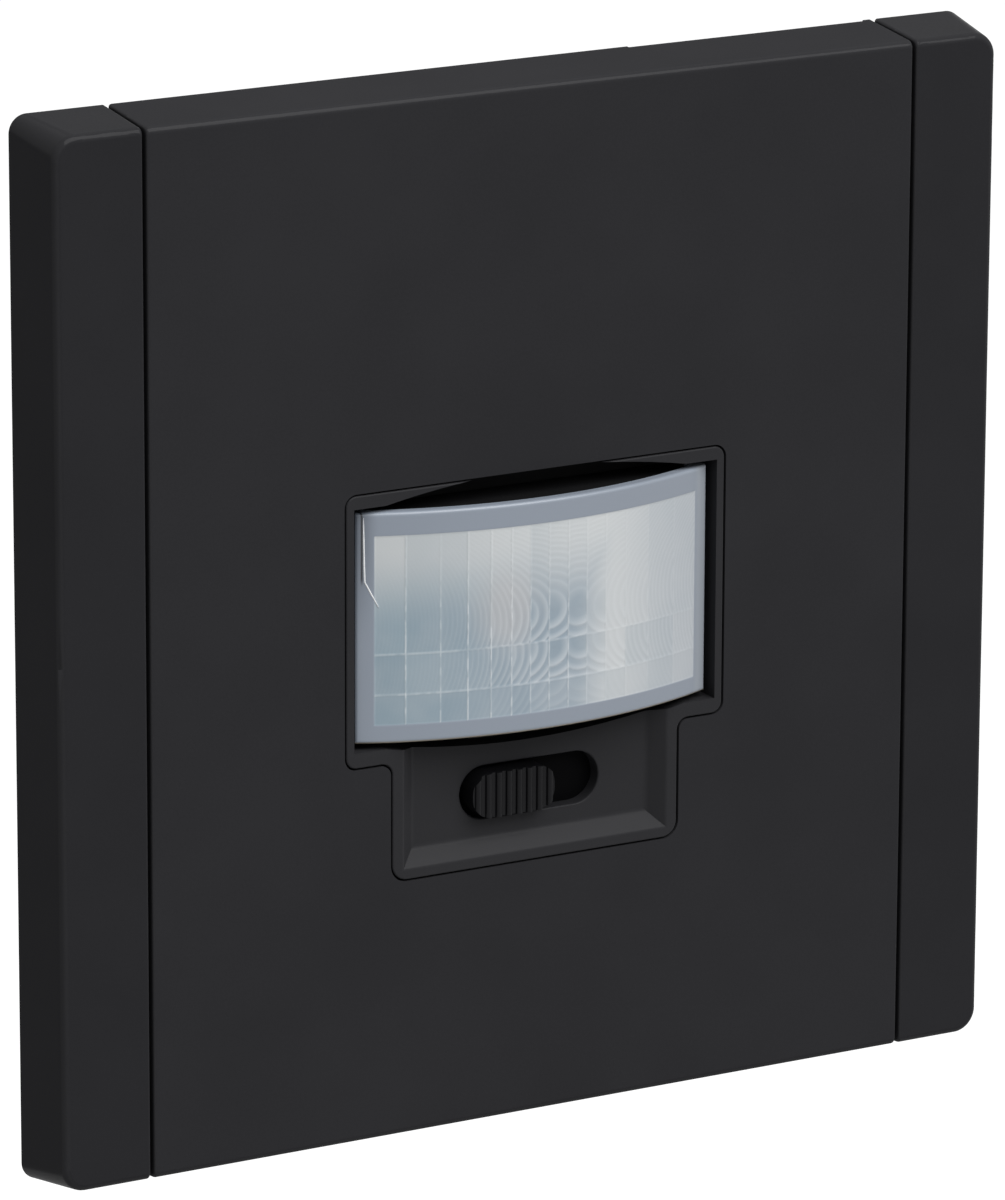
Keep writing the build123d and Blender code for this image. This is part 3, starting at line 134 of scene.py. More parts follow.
# %% A finish under construction
class Finish:
    """A material, or the world, whose graph is built by calls of one method."""

    def __init__(self, name, kind=bpy.data.materials):
        self.material = kind.new(name)
        self.material.use_nodes = True
        self.tree = self.material.node_tree
        self.tree.nodes.clear()
        self.place = self.add("TexCoord", output="Object")

    def add(self, kind, settings=None, inputs=None, output=0):
        node = self.tree.nodes.new("ShaderNode" + kind)
        for name, value in (settings or {}).items():
            if name == "stops":
                self.set_stops(node.color_ramp, value)
            else:
                setattr(node, name, value)
        for name, value in (inputs or {}).items():
            if isinstance(value, Field):
                self.tree.links.new(value.socket, node.inputs[name])
            else:
                node.inputs[name].default_value = value
        return Field(self, node.outputs[output])

    def set_stops(self, ramp, stops):
        while len(ramp.elements) < len(stops):
            ramp.elements.new(1)
        for element, (position, colour) in zip(ramp.elements, stops):
            element.position = position
            element.color = colour

    def noise(self, size, detail=2.0, stretch=None):
        """Soft random clouds of one size in metres, longer along an axis where a stretch is given."""
        place = self.place
        if stretch:
            place = self.add("VectorMath", {"operation": "MULTIPLY"}, {0: place, 1: stretch})
        return self.add("TexNoise", {}, {"Vector": place, "Scale": 1 / size, "Detail": detail})

    def ramp(self, field, low, high):
        """A field spread so that low gives 0 and high gives 1, held there beyond them."""
        settings = {"interpolation_type": "SMOOTHSTEP"}
        return self.add("MapRange", settings, {"Value": field, "From Min": low, "From Max": high})

    def blend(self, mask, first, second):
        """The first colour where the mask is 0, the second where it is 1."""
        return self.add("Mix", {"data_type": "RGBA"}, {0: mask, 6: first, 7: second}, 2)

    def reach(self, centre):
        """Distance of each point, seen from the front, to an upright line through a centre."""
        flat = self.add("VectorMath", {"operation": "MULTIPLY"}, {0: self.place, 1: (1, 0, 1)})
        return self.add("VectorMath", {"operation": "DISTANCE"}, {0: flat, 1: centre}, "Value")

    def edges(self, low=0.03, high=0.12):
        """1 along the rounded edges, where the surface faces no axis, and 0 on the flats."""
        facing = self.add("TexCoord", output="Normal")
        along = [self.add("SeparateXYZ", {}, {0: facing}, axis) for axis in range(3)]
        side, depth, height = [share * share for share in along]
        return self.ramp(side * depth + depth * height + height * side, low, high)

    def relief(self, height, distance, strength=1.0):
        return self.add("Bump", {}, {"Height": height, "Distance": distance, "Strength": strength})

    def close(self, **sockets):
        names = {name.replace("_", " "): value for name, value in sockets.items()}
        surface = self.add("BsdfPrincipled", {}, names)
        self.add_output(surface)
        return self.material

    def add_output(self, surface, kind="Material"):
        output = self.tree.nodes.new("ShaderNodeOutput" + kind)
        self.tree.links.new(surface.socket, output.inputs["Surface"])


print("finish helper ready")

# %% [markdown]
# ## Colours
# Shaders reckon in linear light, but a colour is easier to judge as a picker writes it, from 0 to
# 255. The first helper turns one into the other, so that a plastic which looks 42 renders as 42.

# %% Colours as a picker writes them
def tone(red, green, blue):
    """A colour as a colour picker writes it, 0 to 255, turned to the linear values of a shader."""
    linear = []
    for value in (red, green, blue):
        share = value / 255
        linear.append(share / 12.92 if share <= 0.04045 else ((share + 0.055) / 1.055) ** 2.4)
    return (*linear, 1)


def shade(colour, factor):
    """A colour made paler or darker by a factor."""
    return tuple(min(1, channel * factor) for channel in colour[:3]) + (1,)


print("mid grey is", round(tone(128, 128, 128)[0], 3), "in linear light")

# %% [markdown]
# ## Moulded plastic
# Plate, casing and small mouldings are all injection moulded. A steel mould is spark eroded, which
# leaves a fine even grain, and the pigment varies very slightly. One function makes them all: a
# slow cloud moves the colour, a fine grain moves the roughness and lifts the surface a few
# thousandths of a millimetre. Hands and the polished parting edge of the mould leave the rounded
# edges of the plate a little smoother, which is why the real one shows a thin line of light there.

# %% Moulded plastics
GRAIN_SIZE = 0.00022
CLOUD_SIZE = 0.012
CLOUD_SHARE = 0.6
GRAIN_ROUGHNESS = 0.16


def moulded(name, colour, rough=0.5, gloss=0.5, grain_depth=0.000004, variation=0.06, polish=0.0):
    """Grained plastic; polish is the clear gloss that its rounded edges get."""
    finish = Finish(name)
    cloud = finish.noise(CLOUD_SIZE, 3.0)
    grain = finish.noise(GRAIN_SIZE, 2.0)
    pale = shade(colour, 1 + variation)
    dark = shade(colour, 1 - variation)
    mixed = cloud * CLOUD_SHARE + grain * (1 - CLOUD_SHARE)
    base = finish.blend(finish.ramp(mixed, 0.3, 0.7), dark, pale)
    return finish.close(
        Base_Color=base,
        Roughness=rough + (grain - 0.5) * GRAIN_ROUGHNESS,
        Specular_IOR_Level=gloss,
        Coat_Weight=finish.edges() * polish if polish else 0.0,
        Normal=finish.relief(grain, grain_depth),
    )


PLATE_TONE = tone(42, 42, 44)
STRIP_TONE = tone(38, 38, 40)
BEZEL_TONE = tone(38, 38, 40)
EDGE_POLISH = 0.09
made = {
    "plate_plastic": moulded("plate_plastic", PLATE_TONE, 0.5, 0.004, polish=EDGE_POLISH),
    "strip_plastic": moulded("strip_plastic", STRIP_TONE, 0.5, 0.014, polish=EDGE_POLISH),
    "bezel_plastic": moulded("bezel_plastic", BEZEL_TONE, 0.4, 0.07),
    # The knob, its carriage and the lens carrier are black, and their tones are darkened further as
    # painted shade of the recesses they sit in.
    "knob_plastic": moulded("knob_plastic", tone(16, 16, 18), 0.32, 0.1),
    "carriage_plastic": moulded("carriage_plastic", tone(9, 9, 10), 0.5, 0.01),
    "carrier_plastic": moulded("carrier_plastic", tone(17, 17, 18), 0.55, 0.08),
    "shell_plastic": moulded("shell_plastic", tone(205, 205, 200), 0.5),
    "housing_plastic": moulded("housing_plastic", tone(196, 197, 194), 0.5),
    "shroud_plastic": moulded("shroud_plastic", tone(38, 38, 40), 0.6),
    "lever_plastic": moulded("lever_plastic", tone(28, 28, 30), 0.4),
    "trimmer_plastic": moulded("trimmer_plastic", tone(40, 74, 130), 0.4),
    "dial_plastic": moulded("dial_plastic", tone(226, 226, 222), 0.35),
    "header_plastic": moulded("header_plastic", tone(30, 30, 31), 0.45),
}
print("moulded plastics", len(made))

# %% [markdown]
# ## Metals
# Sheet and turned metal differ in the direction of their marks. Rolled or drawn stock has long
# fine lines, plated screws have a soft mottle. Noise that is squeezed along one axis gives the
# lines, and it moves the roughness more than the colour, as real tooling marks do.

# %% Metals
LINE_SIZE = 0.0005
TARNISH_SIZE = 0.006


def metal(name, colour, rough, stretch, worn=0.12, mark_depth=0.000002):
    """Bare metal with fine lines along the axis that stretch leaves at less than 1."""
    finish = Finish(name)
    lines = finish.noise(LINE_SIZE, 3.0, stretch)
    cloud = finish.noise(TARNISH_SIZE, 4.0)
    base = finish.blend(finish.ramp(cloud, 0.3, 0.75), shade(colour, 1 - worn), colour)
    return finish.close(
        Base_Color=base,
        Metallic=1.0,
        Roughness=rough + (lines - 0.5) * 0.3 + (cloud - 0.5) * 0.15,
        Normal=finish.relief(lines, mark_depth),
    )


made.update(
    strap_steel=metal("strap_steel", tone(196, 199, 202), 0.38, (0.08, 1, 1)),
    screw_steel=metal("screw_steel", tone(205, 203, 196), 0.32, (1, 0.2, 1)),
    sensor_metal=metal("sensor_metal", tone(212, 204, 190), 0.24, (1, 0.1, 1)),
    tinned_pins=metal("tinned_pins", tone(208, 208, 204), 0.3, (1, 0.1, 1)),
    switch_metal=metal("switch_metal", tone(198, 200, 200), 0.3, (0.1, 1, 1)),
    bar_brass=metal("bar_brass", tone(206, 170, 96), 0.34, (0.1, 1, 1)),
    cage_steel=metal("cage_steel", tone(188, 186, 176), 0.4, (1, 1, 0.1)),
    sink_aluminium=metal("sink_aluminium", tone(200, 202, 204), 0.42, (0.06, 1, 1)),
)
print("with metals", len(made))

# %% [markdown]
# ## Boards, resins and windings
# A circuit board is woven glass in green resin: the weave shows faintly through, so two sets of
# fine waves at right angles move the colour. Resin bodies are glossy with a slow swirl, ferrite is
# dull and pitted, and enamelled copper shows its turns as fine lines.

# %% Board, resin, ferrite and wire finishes
WEAVE_SIZE = 0.0007
RESIN_CLOUD_SIZE = 0.008
SWIRL_SIZE = 0.003
ENAMEL_CLOUD_SIZE = 0.002


def laminate(name, colour):
    """Printed board: two sets of bands at right angles under a clear coat."""
    finish = Finish(name)
    waves = {}
    for axis in ("X", "Z"):
        settings = {"wave_type": "BANDS", "bands_direction": axis}
        sockets = {"Vector": finish.place, "Scale": 0.3 / WEAVE_SIZE}
        waves[axis] = finish.add("TexWave", settings, sockets)
    weave = waves["X"] * 0.5 + waves["Z"] * 0.5
    cloud = finish.noise(RESIN_CLOUD_SIZE, 3.0)
    base = finish.blend(weave * 0.5 + cloud * 0.5, shade(colour, 0.8), shade(colour, 1.15))
    return finish.close(
        Base_Color=base,
        Roughness=0.3 + weave * 0.12,
        Coat_Weight=0.4 + cloud * 0.2,
        Normal=finish.relief(weave, 0.000004),
    )


def resin(name, colour, rough, speck=0.0004, depth=0.000004, coat=0.0):
    """Cast or dipped resin with a slow swirl and fine specks."""
    finish = Finish(name)
    swirl = finish.noise(SWIRL_SIZE, 4.0)
    specks = finish.noise(speck, 2.0)
    base = finish.blend(finish.ramp(swirl, 0.3, 0.7), shade(colour, 0.88), shade(colour, 1.1))
    return finish.close(
        Base_Color=finish.blend(finish.ramp(specks, 0.6, 0.8) * 0.2, base, shade(colour, 0.6)),
        Roughness=rough + (specks - 0.5) * 0.2,
        Coat_Weight=coat,
        Normal=finish.relief(specks, depth),
    )


def enamelled(name, colour):
    """Copper wire under clear enamel."""
    finish = Finish(name)
    cloud = finish.noise(ENAMEL_CLOUD_SIZE, 3.0)
    base = finish.blend(cloud, shade(colour, 0.75), shade(colour, 1.2))
    return finish.close(Base_Color=base, Metallic=0.85, Roughness=0.28 + cloud * 0.1, Coat_Weight=0.6)


made.update(
    board_laminate=laminate("board_laminate", tone(30, 84, 58)),
    filter_glass=resin("filter_glass", tone(52, 46, 50), 0.12, coat=0.5),
    photocell_resin=resin("photocell_resin", tone(176, 122, 74), 0.25, coat=0.4),
    chip_resin=resin("chip_resin", tone(34, 34, 36), 0.5),
    capacitor_sleeve=resin("capacitor_sleeve", tone(28, 34, 52), 0.34, 0.0006, coat=0.3),
    fuse_resin=resin("fuse_resin", tone(38, 70, 48), 0.3, coat=0.3),
    film_box=resin("film_box", tone(206, 176, 60), 0.4),
    varistor_resin=resin("varistor_resin", tone(38, 86, 158), 0.28, coat=0.4),
    ferrite=resin("ferrite", tone(58, 58, 60), 0.7, 0.0003, 0.00001),
    enamelled_wire=enamelled("enamelled_wire", tone(186, 92, 48)),
)
print("all finishes", len(made))

# %% [markdown]
# ## The lens sheet
# A motion sensor's lens is a bent sheet of frosted polythene. Inside its smooth border lie three
# rows of small cells, each a Fresnel lens: rings of fine steps that bend heat rays as one thick
# lens would. The rings are what make the lens shimmer, so they are modelled as real relief. First
# come the sizes of the sheet. Its place is read from the solid lens that it stands for.

# %% Sizes of the lens
LENS_HALF = 16.11 * mm
LENS_TALL = 9.45 * mm
LENS_RADIUS = 38.8 * mm
LENS_EDGE = 5.572 * mm
LENS_THICK = 0.9 * mm
LENS_ROUND = 0.3 * mm
TAB_LENGTH = 1.2 * mm
TAB_THICK = 0.8 * mm
lens_low, lens_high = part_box("fresnel_lens")
tab_rear = -lens_high.y
tab_front = tab_rear + TAB_THICK
bend_centre = LENS_EDGE - math.sqrt(LENS_RADIUS ** 2 - LENS_HALF ** 2)
print("lens from", [round(v / mm, 2) for v in lens_low], "to", [round(v / mm, 2) for v in lens_high])

# %% [markdown]
# ## What the press left
# The cells stand in fourteen columns, wider towards the sides, and three rows. The rings of a cell
# run round a centre of its own, and the centres spread outwards faster than the cells do, so near
# the middle they show as full discs and further out as moons. Each ring is a saw tooth, a long
# slope and a short one. A seeded dice gives every cell a small stray and a tone, the same each run.

# %% The pattern of cells and rings
HALF_COLUMNS = [0.0, 1.72, 3.4, 5.2, 7.18, 9.46, 12.23, 14.65]
COLUMN_SHIFT = -0.4
SHIFT_FADE = 14.65
ROW_EDGES = [-7.95, -5.45, -2.15, 7.55]
CENTRE_SPREAD = 1.64
CENTRE_SHIFT = -1.14
CENTRE_HEIGHTS = [-4.9, -2.5, 0.1]
CENTRE_STRAY = (0.5, 0.7)
FIRST_ZONE = 1.68
ZONE_POWER = 1.7
RING_DEPTH = 0.034
RING_LEAN = math.radians(-50)
BOTTOM_FADE = 0.3
DISC_PLACE = 1.8
DISC_REACH = 6.0
CELL_SINK = 0.03
LINE_HALF_WIDTH = 0.07
LINE_LIFT = 0.03
SAW_FOOT = 0.3
SAW_CREST = 0.82
LEAST_FACING = 0.3
LEAST_LEFT = 0.25
LEFT_FADE_START = -2.0
LEFT_FADE_WIDTH = 12.0
print("rows", len(ROW_EDGES) - 1)

# %% Columns and cells
column_edges = []
for side in (-1, 1):
    for place in HALF_COLUMNS:
        if place or side > 0:
            column_edges.append(side * place + COLUMN_SHIFT * (1 - place / SHIFT_FADE))
column_edges.sort()
cell_dice = random.Random(26660)
CELLS = {
    (column, row): (cell_dice.random(), cell_dice.random(), cell_dice.random())
    for row in range(len(ROW_EDGES) - 1)
    for column in range(len(column_edges) - 1)
}
print("cells", len(CELLS))


# %% What the press left at a place
def band(edges, place):
    """The index of the band that holds a place, or None outside all of them."""
    for index in range(len(edges) - 1):
        if edges[index] <= place < edges[index + 1]:
            return index
    return None


def pressed(x, z):
    """At a place in millimetres: sunk depth, ring height weighted by how the ring faces the light,
    line, cell tone, and 1 inside the cells.
    """
    column, row = band(column_edges, x), band(ROW_EDGES, z)
    if column is None or row is None:
        return 0.0, 0.5, 0.0, 0.5, 0.0
    to_column = min(x - column_edges[column], column_edges[column + 1] - x)
    to_row = min(z - ROW_EDGES[row], ROW_EDGES[row + 1] - z)
    line = max(0.0, 1 - min(to_column, to_row) / LINE_HALF_WIDTH)
    stray_x, stray_z, cell_tone = CELLS[column, row]
    centre_x = CENTRE_SPREAD * (column_edges[column] + column_edges[column + 1]) / 2 + CENTRE_SHIFT
    centre_x += CENTRE_STRAY[0] * (stray_x - 0.5)
    centre_z = CENTRE_HEIGHTS[row] + CENTRE_STRAY[1] * (stray_z - 0.5)
    zone = (math.hypot(x - centre_x, z - centre_z) / FIRST_ZONE) ** ZONE_POWER
    saw = zone % 1.0
    rising = max(0.0, (saw - SAW_FOOT) / (SAW_CREST - SAW_FOOT))
    ring = rising if saw < SAW_CREST else (1 - saw) / (1 - SAW_CREST)
    # The weight below is how each ring's arc faces the light: strongest on the side RING_LEAN points
    # to, weaker at the left and in the bottom row. It deepens the ring relief and sets the painted
    # ring highlight.
    turned = math.atan2(z - centre_z, x - centre_x) - RING_LEAN
    facing = LEAST_FACING + (1 - LEAST_FACING) * (0.5 + 0.5 * math.cos(turned)) ** 2
    facing *= min(1.0, max(LEAST_LEFT, 1 + (x - LEFT_FADE_START) / LEFT_FADE_WIDTH))
    facing *= 1.0 if row else BOTTOM_FADE
    middle = max(0.0, 1 - abs(x - DISC_PLACE) / DISC_REACH)
    disc = min(1.0, max(0.0, (1 - zone) * 3)) * middle
    sunk = CELL_SINK + RING_DEPTH * facing * (1 - ring) - LINE_LIFT * line
    return sunk, ring * facing, line, min(1.0, cell_tone * (1 - 0.5 * middle) + disc), 1.0


print("sunk at the middle", round(pressed(0.0, 0.0)[0], 3), "mm")

# %% [markdown]
# ## Sweeping the sheet
# A flat grid pushed back by a Displace modifier would need an unwrapped picture of the pattern.
# Here the sheet is swept instead: one U-shaped section, front, legs and tabs, is repeated row by
# row from bottom to top, and each point of its front sinks by the depth of the pattern there. The
# point also keeps what the press left, as four numbers that the finish reads later.

# %% Helpers for meshes made by hand
def close_tube(mesh, loops):
    """Joins rings of vertices into a closed tube with a cap at each end."""
    count = len(loops[0])
    for lower, upper in zip(loops, loops[1:]):
        for index in range(count):
            following = (index + 1) % count
            mesh.faces.new((lower[index], lower[following], upper[following], upper[index]))
    mesh.faces.new(list(reversed(loops[0])))
    mesh.faces.new(loops[-1])


def to_data(mesh, name):
    """Turns the faces outwards and hands the mesh over under a name."""
    bmesh.ops.recalc_face_normals(mesh, faces=mesh.faces)
    data = bpy.data.meshes.new(name)
    mesh.to_mesh(data)
    mesh.free()
    return data


def place_piece(name, data, body, finish, replaced=()):
    """Puts a mesh in the scene as a piece that rides on a body."""
    piece = bpy.data.objects.new(name, data)
    scene.collection.objects.link(piece)
    data.materials.clear()
    data.materials.append(finish)
    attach(piece, body)
    if replaced:
        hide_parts(*replaced)
    return piece


def soften(piece, angle=35):
    """Shades smooth wherever faces meet at less than the angle."""
    piece.data.shade_smooth()
    edges = bmesh.new()
    edges.from_mesh(piece.data)
    for edge in edges.edges:
        if len(edge.link_faces) == 2:
            edge.smooth = edge.calc_face_angle() < math.radians(angle)
    edges.to_mesh(piece.data)
    edges.free()


print("mesh helpers ready")

# %% The line of the front and the heights of the rows
FRONT_STEPS = 340
INNER_STEPS = 24
TALL_STEPS = 200
ROUND_STEPS = 5


def lens_front(count):
    """Points of the front from left to right, each with its outward direction."""
    half_angle = math.asin(LENS_HALF / LENS_RADIUS)
    points = []
    for index in range(count + 1):
        angle = -half_angle + 2 * half_angle * index / count
        outward = Vector((math.sin(angle), math.cos(angle)))
        points.append((Vector((0, bend_centre)) + outward * LENS_RADIUS, outward))
    return points


def lens_rows():
    """Heights of the rows, each with how far the rounded edge draws the front back there."""
    rows = []
    for index in range(ROUND_STEPS):
        angle = math.pi / 2 * index / ROUND_STEPS
        height = -LENS_TALL + LENS_ROUND * (1 - math.cos(angle))
        rows.append((height, LENS_ROUND * (1 - math.sin(angle))))
    flat = LENS_TALL - LENS_ROUND
    rows += [(-flat + 2 * flat * index / TALL_STEPS, 0.0) for index in range(TALL_STEPS + 1)]
    return rows + [(-height, drawn) for height, drawn in reversed(rows[:ROUND_STEPS])]


print("front points", FRONT_STEPS + 1, "rows", len(lens_rows()))


# %% One section of the sheet
def lens_section(height, drawn):
    """The closed U of one row as (x, height above the wall), and the pattern at each front point."""
    ring = []
    marks = []
    for place, outward in lens_front(FRONT_STEPS):
        sunk, crest, line, cell_tone, inside = pressed(place.x / mm, height / mm)
        from_side = max(0.0, LENS_HALF - abs(place.x))
        side_drawn = 0.0
        if from_side < LENS_ROUND:
            side_drawn = LENS_ROUND - math.sqrt(LENS_ROUND ** 2 - (LENS_ROUND - from_side) ** 2)
        ring.append(place - outward * (max(drawn, side_drawn) + sunk * mm))
        marks.append((crest, line, cell_tone, inside))
    inner = [place - outward * LENS_THICK for place, outward in lens_front(INNER_STEPS)]
    inner = [place for place in inner if abs(place.x) < LENS_HALF - LENS_THICK]
    back_edge = LENS_HALF - LENS_THICK
    right_leg = [
        (LENS_HALF, tab_front),
        (LENS_HALF + TAB_LENGTH, tab_front),
        (LENS_HALF + TAB_LENGTH, tab_rear),
        (back_edge, tab_rear),
    ]
    left_leg = [(-x, h) for x, h in reversed(right_leg)]
    ring += [Vector(point) for point in right_leg]
    ring += list(reversed(inner))
    ring += [Vector(point) for point in left_leg]
    return ring, marks


print("points in a section", len(lens_section(0.0, 0.0)[0]))


# %% Join the rows
def sweep_lens():
    """The closed sheet, with what the press left kept at each point of its front."""
    mesh = bmesh.new()
    ring_layer = mesh.verts.layers.float.new("ring")
    line_layer = mesh.verts.layers.float.new("line")
    tone_layer = mesh.verts.layers.float.new("cell")
    inside_layer = mesh.verts.layers.float.new("inside")
    loops = []
    for height, drawn in lens_rows():
        section, marks = lens_section(height, drawn)
        loop = [mesh.verts.new((x, -h, height)) for x, h in section]
        for vertex, (crest, line, cell_tone, inside) in zip(loop, marks):
            vertex[ring_layer] = crest
            vertex[line_layer] = line
            vertex[tone_layer] = cell_tone
            vertex[inside_layer] = inside
        loops.append(loop)
    count = len(loops[0])
    for lower, upper in zip(loops, loops[1:]):
        for index in range(count):
            following = (index + 1) % count
            mesh.faces.new((lower[index], upper[index], upper[following], lower[following]))
    mesh.faces.new(loops[0])
    mesh.faces.new(list(reversed(loops[-1])))
    return to_data(mesh, "lens_sheet_pressed")


lens_sheet = sweep_lens()
print("lens points", len(lens_sheet.vertices))

# %% [markdown]
# ## Tones of the lens
# Frosted polythene looks milky, and each part of the pattern has a tone of its own. Light and shade
# are painted into these tones as well: the left half carries painted shade in blue green, the right
# half painted light, nearly white, and the smooth border lies between the two. The rings carry a
# painted highlight, the border painted shade at its upper corner and painted light at its right end,
# the slit beside the nick painted shade, and the lower edge a thin painted warm reflection. The
# tones are gathered here by name, each with the span over which it comes in, in metres from the
# middle of the lens, so that a look can be changed in one place.

# %% Tones and spans of the lens
LENS_TONES = {
    "border left": tone(126, 134, 145),
    "border right": tone(121, 128, 138),
    "border corner shade": tone(78, 84, 93),
    "lit border end": tone(142, 147, 153),
    "shade left": tone(131, 148, 158),
    "shade middle": tone(135, 147, 157),
    "light middle": tone(184, 187, 188),
    "light right": tone(156, 161, 166),
    "deep cell": tone(112, 130, 142),
    "warm patch": tone(176, 172, 171),
    "painted ring highlight": tone(198, 202, 205),
    "haze": tone(188, 188, 189),
    "pale line": tone(206, 210, 212),
    "slit_shade": tone(30, 33, 38),
    "warm edge reflection": tone(142, 134, 118),
}
ACROSS = {
    "sheet": (-0.016, 0.016),
    "light": (0.0012, 0.0062),
    "corner": (-0.0142, -0.0158),
    "lit border end": (0.0145, 0.0152),
    "shade": (-0.014, -0.001),
    "light right": (0.003, 0.0145),
    "rings": (-0.011, 0.001),
    "slit left": (-0.01564, -0.0156),
    "slit right": (-0.01545, -0.0155),
}
UPWARDS = {
    "light": (-0.0005, 0.0068),
    "corner": (-0.002, 0.0085),
    "slit_shade": (0.0034, 0.0042),
    "warm edge reflection": (-0.0092, -0.00938),
}
WARM_CENTRE = (-0.004, 0.0, 0.0008)
WARM_SPAN = (0.0045, 0.001)
HAZE_SIZE = 0.004
DASH_SIZE = 0.0009
FROST_SIZE = 0.00012
print("lens tones", len(LENS_TONES))

# %% [markdown]
# ## Frosted polythene
# The mesh carries four numbers at each point: ring, line, cell and inside. Attribute nodes bring
# them into the graph, where they choose between the tones. Painting the tones by hand would need an
# image; this way they follow the relief exactly. Nothing here looks at the camera, so the lens
# keeps its tones from every side.

# %% Finish of the lens
def lens_border(finish, x, z, rightward):
    """The smooth border: painted shade at its near upper corner, painted light along its right end."""
    # Painted shade darkens the upper corner of the left border; painted light pales its right end.
    corner = finish.ramp(x, *ACROSS["corner"]) * finish.ramp(z, *UPWARDS["corner"])
    border = finish.blend(rightward, LENS_TONES["border left"], LENS_TONES["border right"])
    border = finish.blend(corner * 0.75, border, LENS_TONES["border corner shade"])
    end = finish.ramp(x, *ACROSS["lit border end"])
    return finish.blend(end * 0.6, border, LENS_TONES["lit border end"])


def lens_cells(finish, marks, x, lit, rightward, cloud):
    """The cells: painted shade or painted light, then each cell's own tone, the warm patch, the
    painted ring highlight and a haze.
    """
    shade_right = finish.ramp(x, *ACROSS["shade"])
    shaded = finish.blend(shade_right, LENS_TONES["shade left"], LENS_TONES["shade middle"])
    light_right = finish.ramp(x, *ACROSS["light right"])
    bright = finish.blend(light_right, LENS_TONES["light middle"], LENS_TONES["light right"])
    cell = finish.blend(lit, shaded, bright)
    cell = finish.blend(marks["cell"] * (0.42 - rightward * 0.22), cell, LENS_TONES["deep cell"])
    warm = finish.ramp(finish.reach(WARM_CENTRE), *WARM_SPAN) * (1 - marks["cell"])
    cell = finish.blend(warm * 0.55, cell, LENS_TONES["warm patch"])
    # Painted highlight on the ring crests, stronger towards the middle.
    middle = finish.ramp(x, *ACROSS["rings"])
    cell = finish.blend(marks["ring"] * (0.15 + middle * 0.35), cell, LENS_TONES["painted ring highlight"])
    return finish.blend(finish.ramp(cloud, 0.35, 0.75) * 0.12, cell, LENS_TONES["haze"])


def frosted_lens():
    finish = Finish("lens_sheet")
    marks = {}
    for name in ("ring", "line", "cell", "inside"):
        marks[name] = finish.add("Attribute", {"attribute_name": name}, {}, "Fac")
    x, z = [finish.add("SeparateXYZ", {}, {0: finish.place}, axis) for axis in ("X", "Z")]
    cloud = finish.noise(HAZE_SIZE, 2.0)
    rightward = finish.ramp(x, *ACROSS["sheet"])
    # Painted light: cells on the right half and the upper part are made paler as if lit, the rest keep
    # painted shade.
    lit = finish.ramp(x, *ACROSS["light"])
    lit = lit.sum("MAXIMUM", lit, finish.ramp(z, *UPWARDS["light"]))
    cells = lens_cells(finish, marks, x, lit, rightward, cloud)
    base = finish.blend(marks["inside"], lens_border(finish, x, z, rightward), cells)
    dashes = finish.ramp(finish.noise(DASH_SIZE, 1.0), 0.4, 0.6)
    # Pale dashed lines along the cell borders, fainter to the right and where the cells are made
    # paler.
    pale_lines = marks["line"] * (0.75 - rightward * 0.35) * (1 - lit * 0.6) * (0.35 + dashes * 0.65)
    base = finish.blend(pale_lines, base, LENS_TONES["pale line"])
    # Painted shade: a dark narrow band beside the nick, from the top of the left border downwards,
    # stands in for the shade inside the cut.
    slit_shade = finish.ramp(x, *ACROSS["slit left"]) * finish.ramp(x, *ACROSS["slit right"])
    base = finish.blend(slit_shade * finish.ramp(z, *UPWARDS["slit_shade"]), base, LENS_TONES["slit_shade"])
    # Painted reflection: a thin warm line along the lower edge of the sheet.
    base = finish.blend(finish.ramp(z, *UPWARDS["warm edge reflection"]), base, LENS_TONES["warm edge reflection"])
    return finish.close(
        Base_Color=base,
        Roughness=0.36 + (cloud - 0.5) * 0.12,
        Normal=finish.relief(finish.noise(FROST_SIZE, 1.0), 0.000003),
    )


made["lens_sheet"] = frosted_lens()
finish = made["lens_sheet"]
lens_piece = place_piece(
    "lens_sheet_pressed", lens_sheet, "module", finish, ["fresnel_lens"]
)
soften(lens_piece, 30)
print("lens faces", len(lens_piece.data.polygons))

# %% [markdown]
# ## The nick in the lens
# The sheet was cut a little too deep at its upper left corner: a thin white curl of polythene runs
# down beside the cells and turns inwards. It is drawn as a path on the bent front and given a small
# lens-shaped section that tapers at both ends, half sunk into the sheet.

# %% Path and section of the nick
NICK_PATH = [(-15.42, 9.1), (-15.4, 7.2), (-15.37, 5.3), (-15.33, 3.85), (-14.85, 2.85), (-14.3, 1.75)]
NICK_HALF_WIDTH = 0.075
NICK_HEIGHT = 0.05
NICK_STEPS = 12
NICK_FOOT = -0.04
NICK_SHOULDER = NICK_HEIGHT * 0.7
NICK_SECTION = [
    (-1, NICK_FOOT),
    (-0.55, NICK_SHOULDER),
    (0, NICK_HEIGHT),
    (0.55, NICK_SHOULDER),
    (1, NICK_FOOT),
]
NICK_TIP_SHARE = 0.12
print("nick points", len(NICK_PATH))


# %% Sweep the nick
def lens_front_height(x):
    """Height of the lens's front above the wall at a distance from the middle, in millimetres."""
    return (bend_centre + math.sqrt(LENS_RADIUS ** 2 - (x * mm) ** 2)) / mm


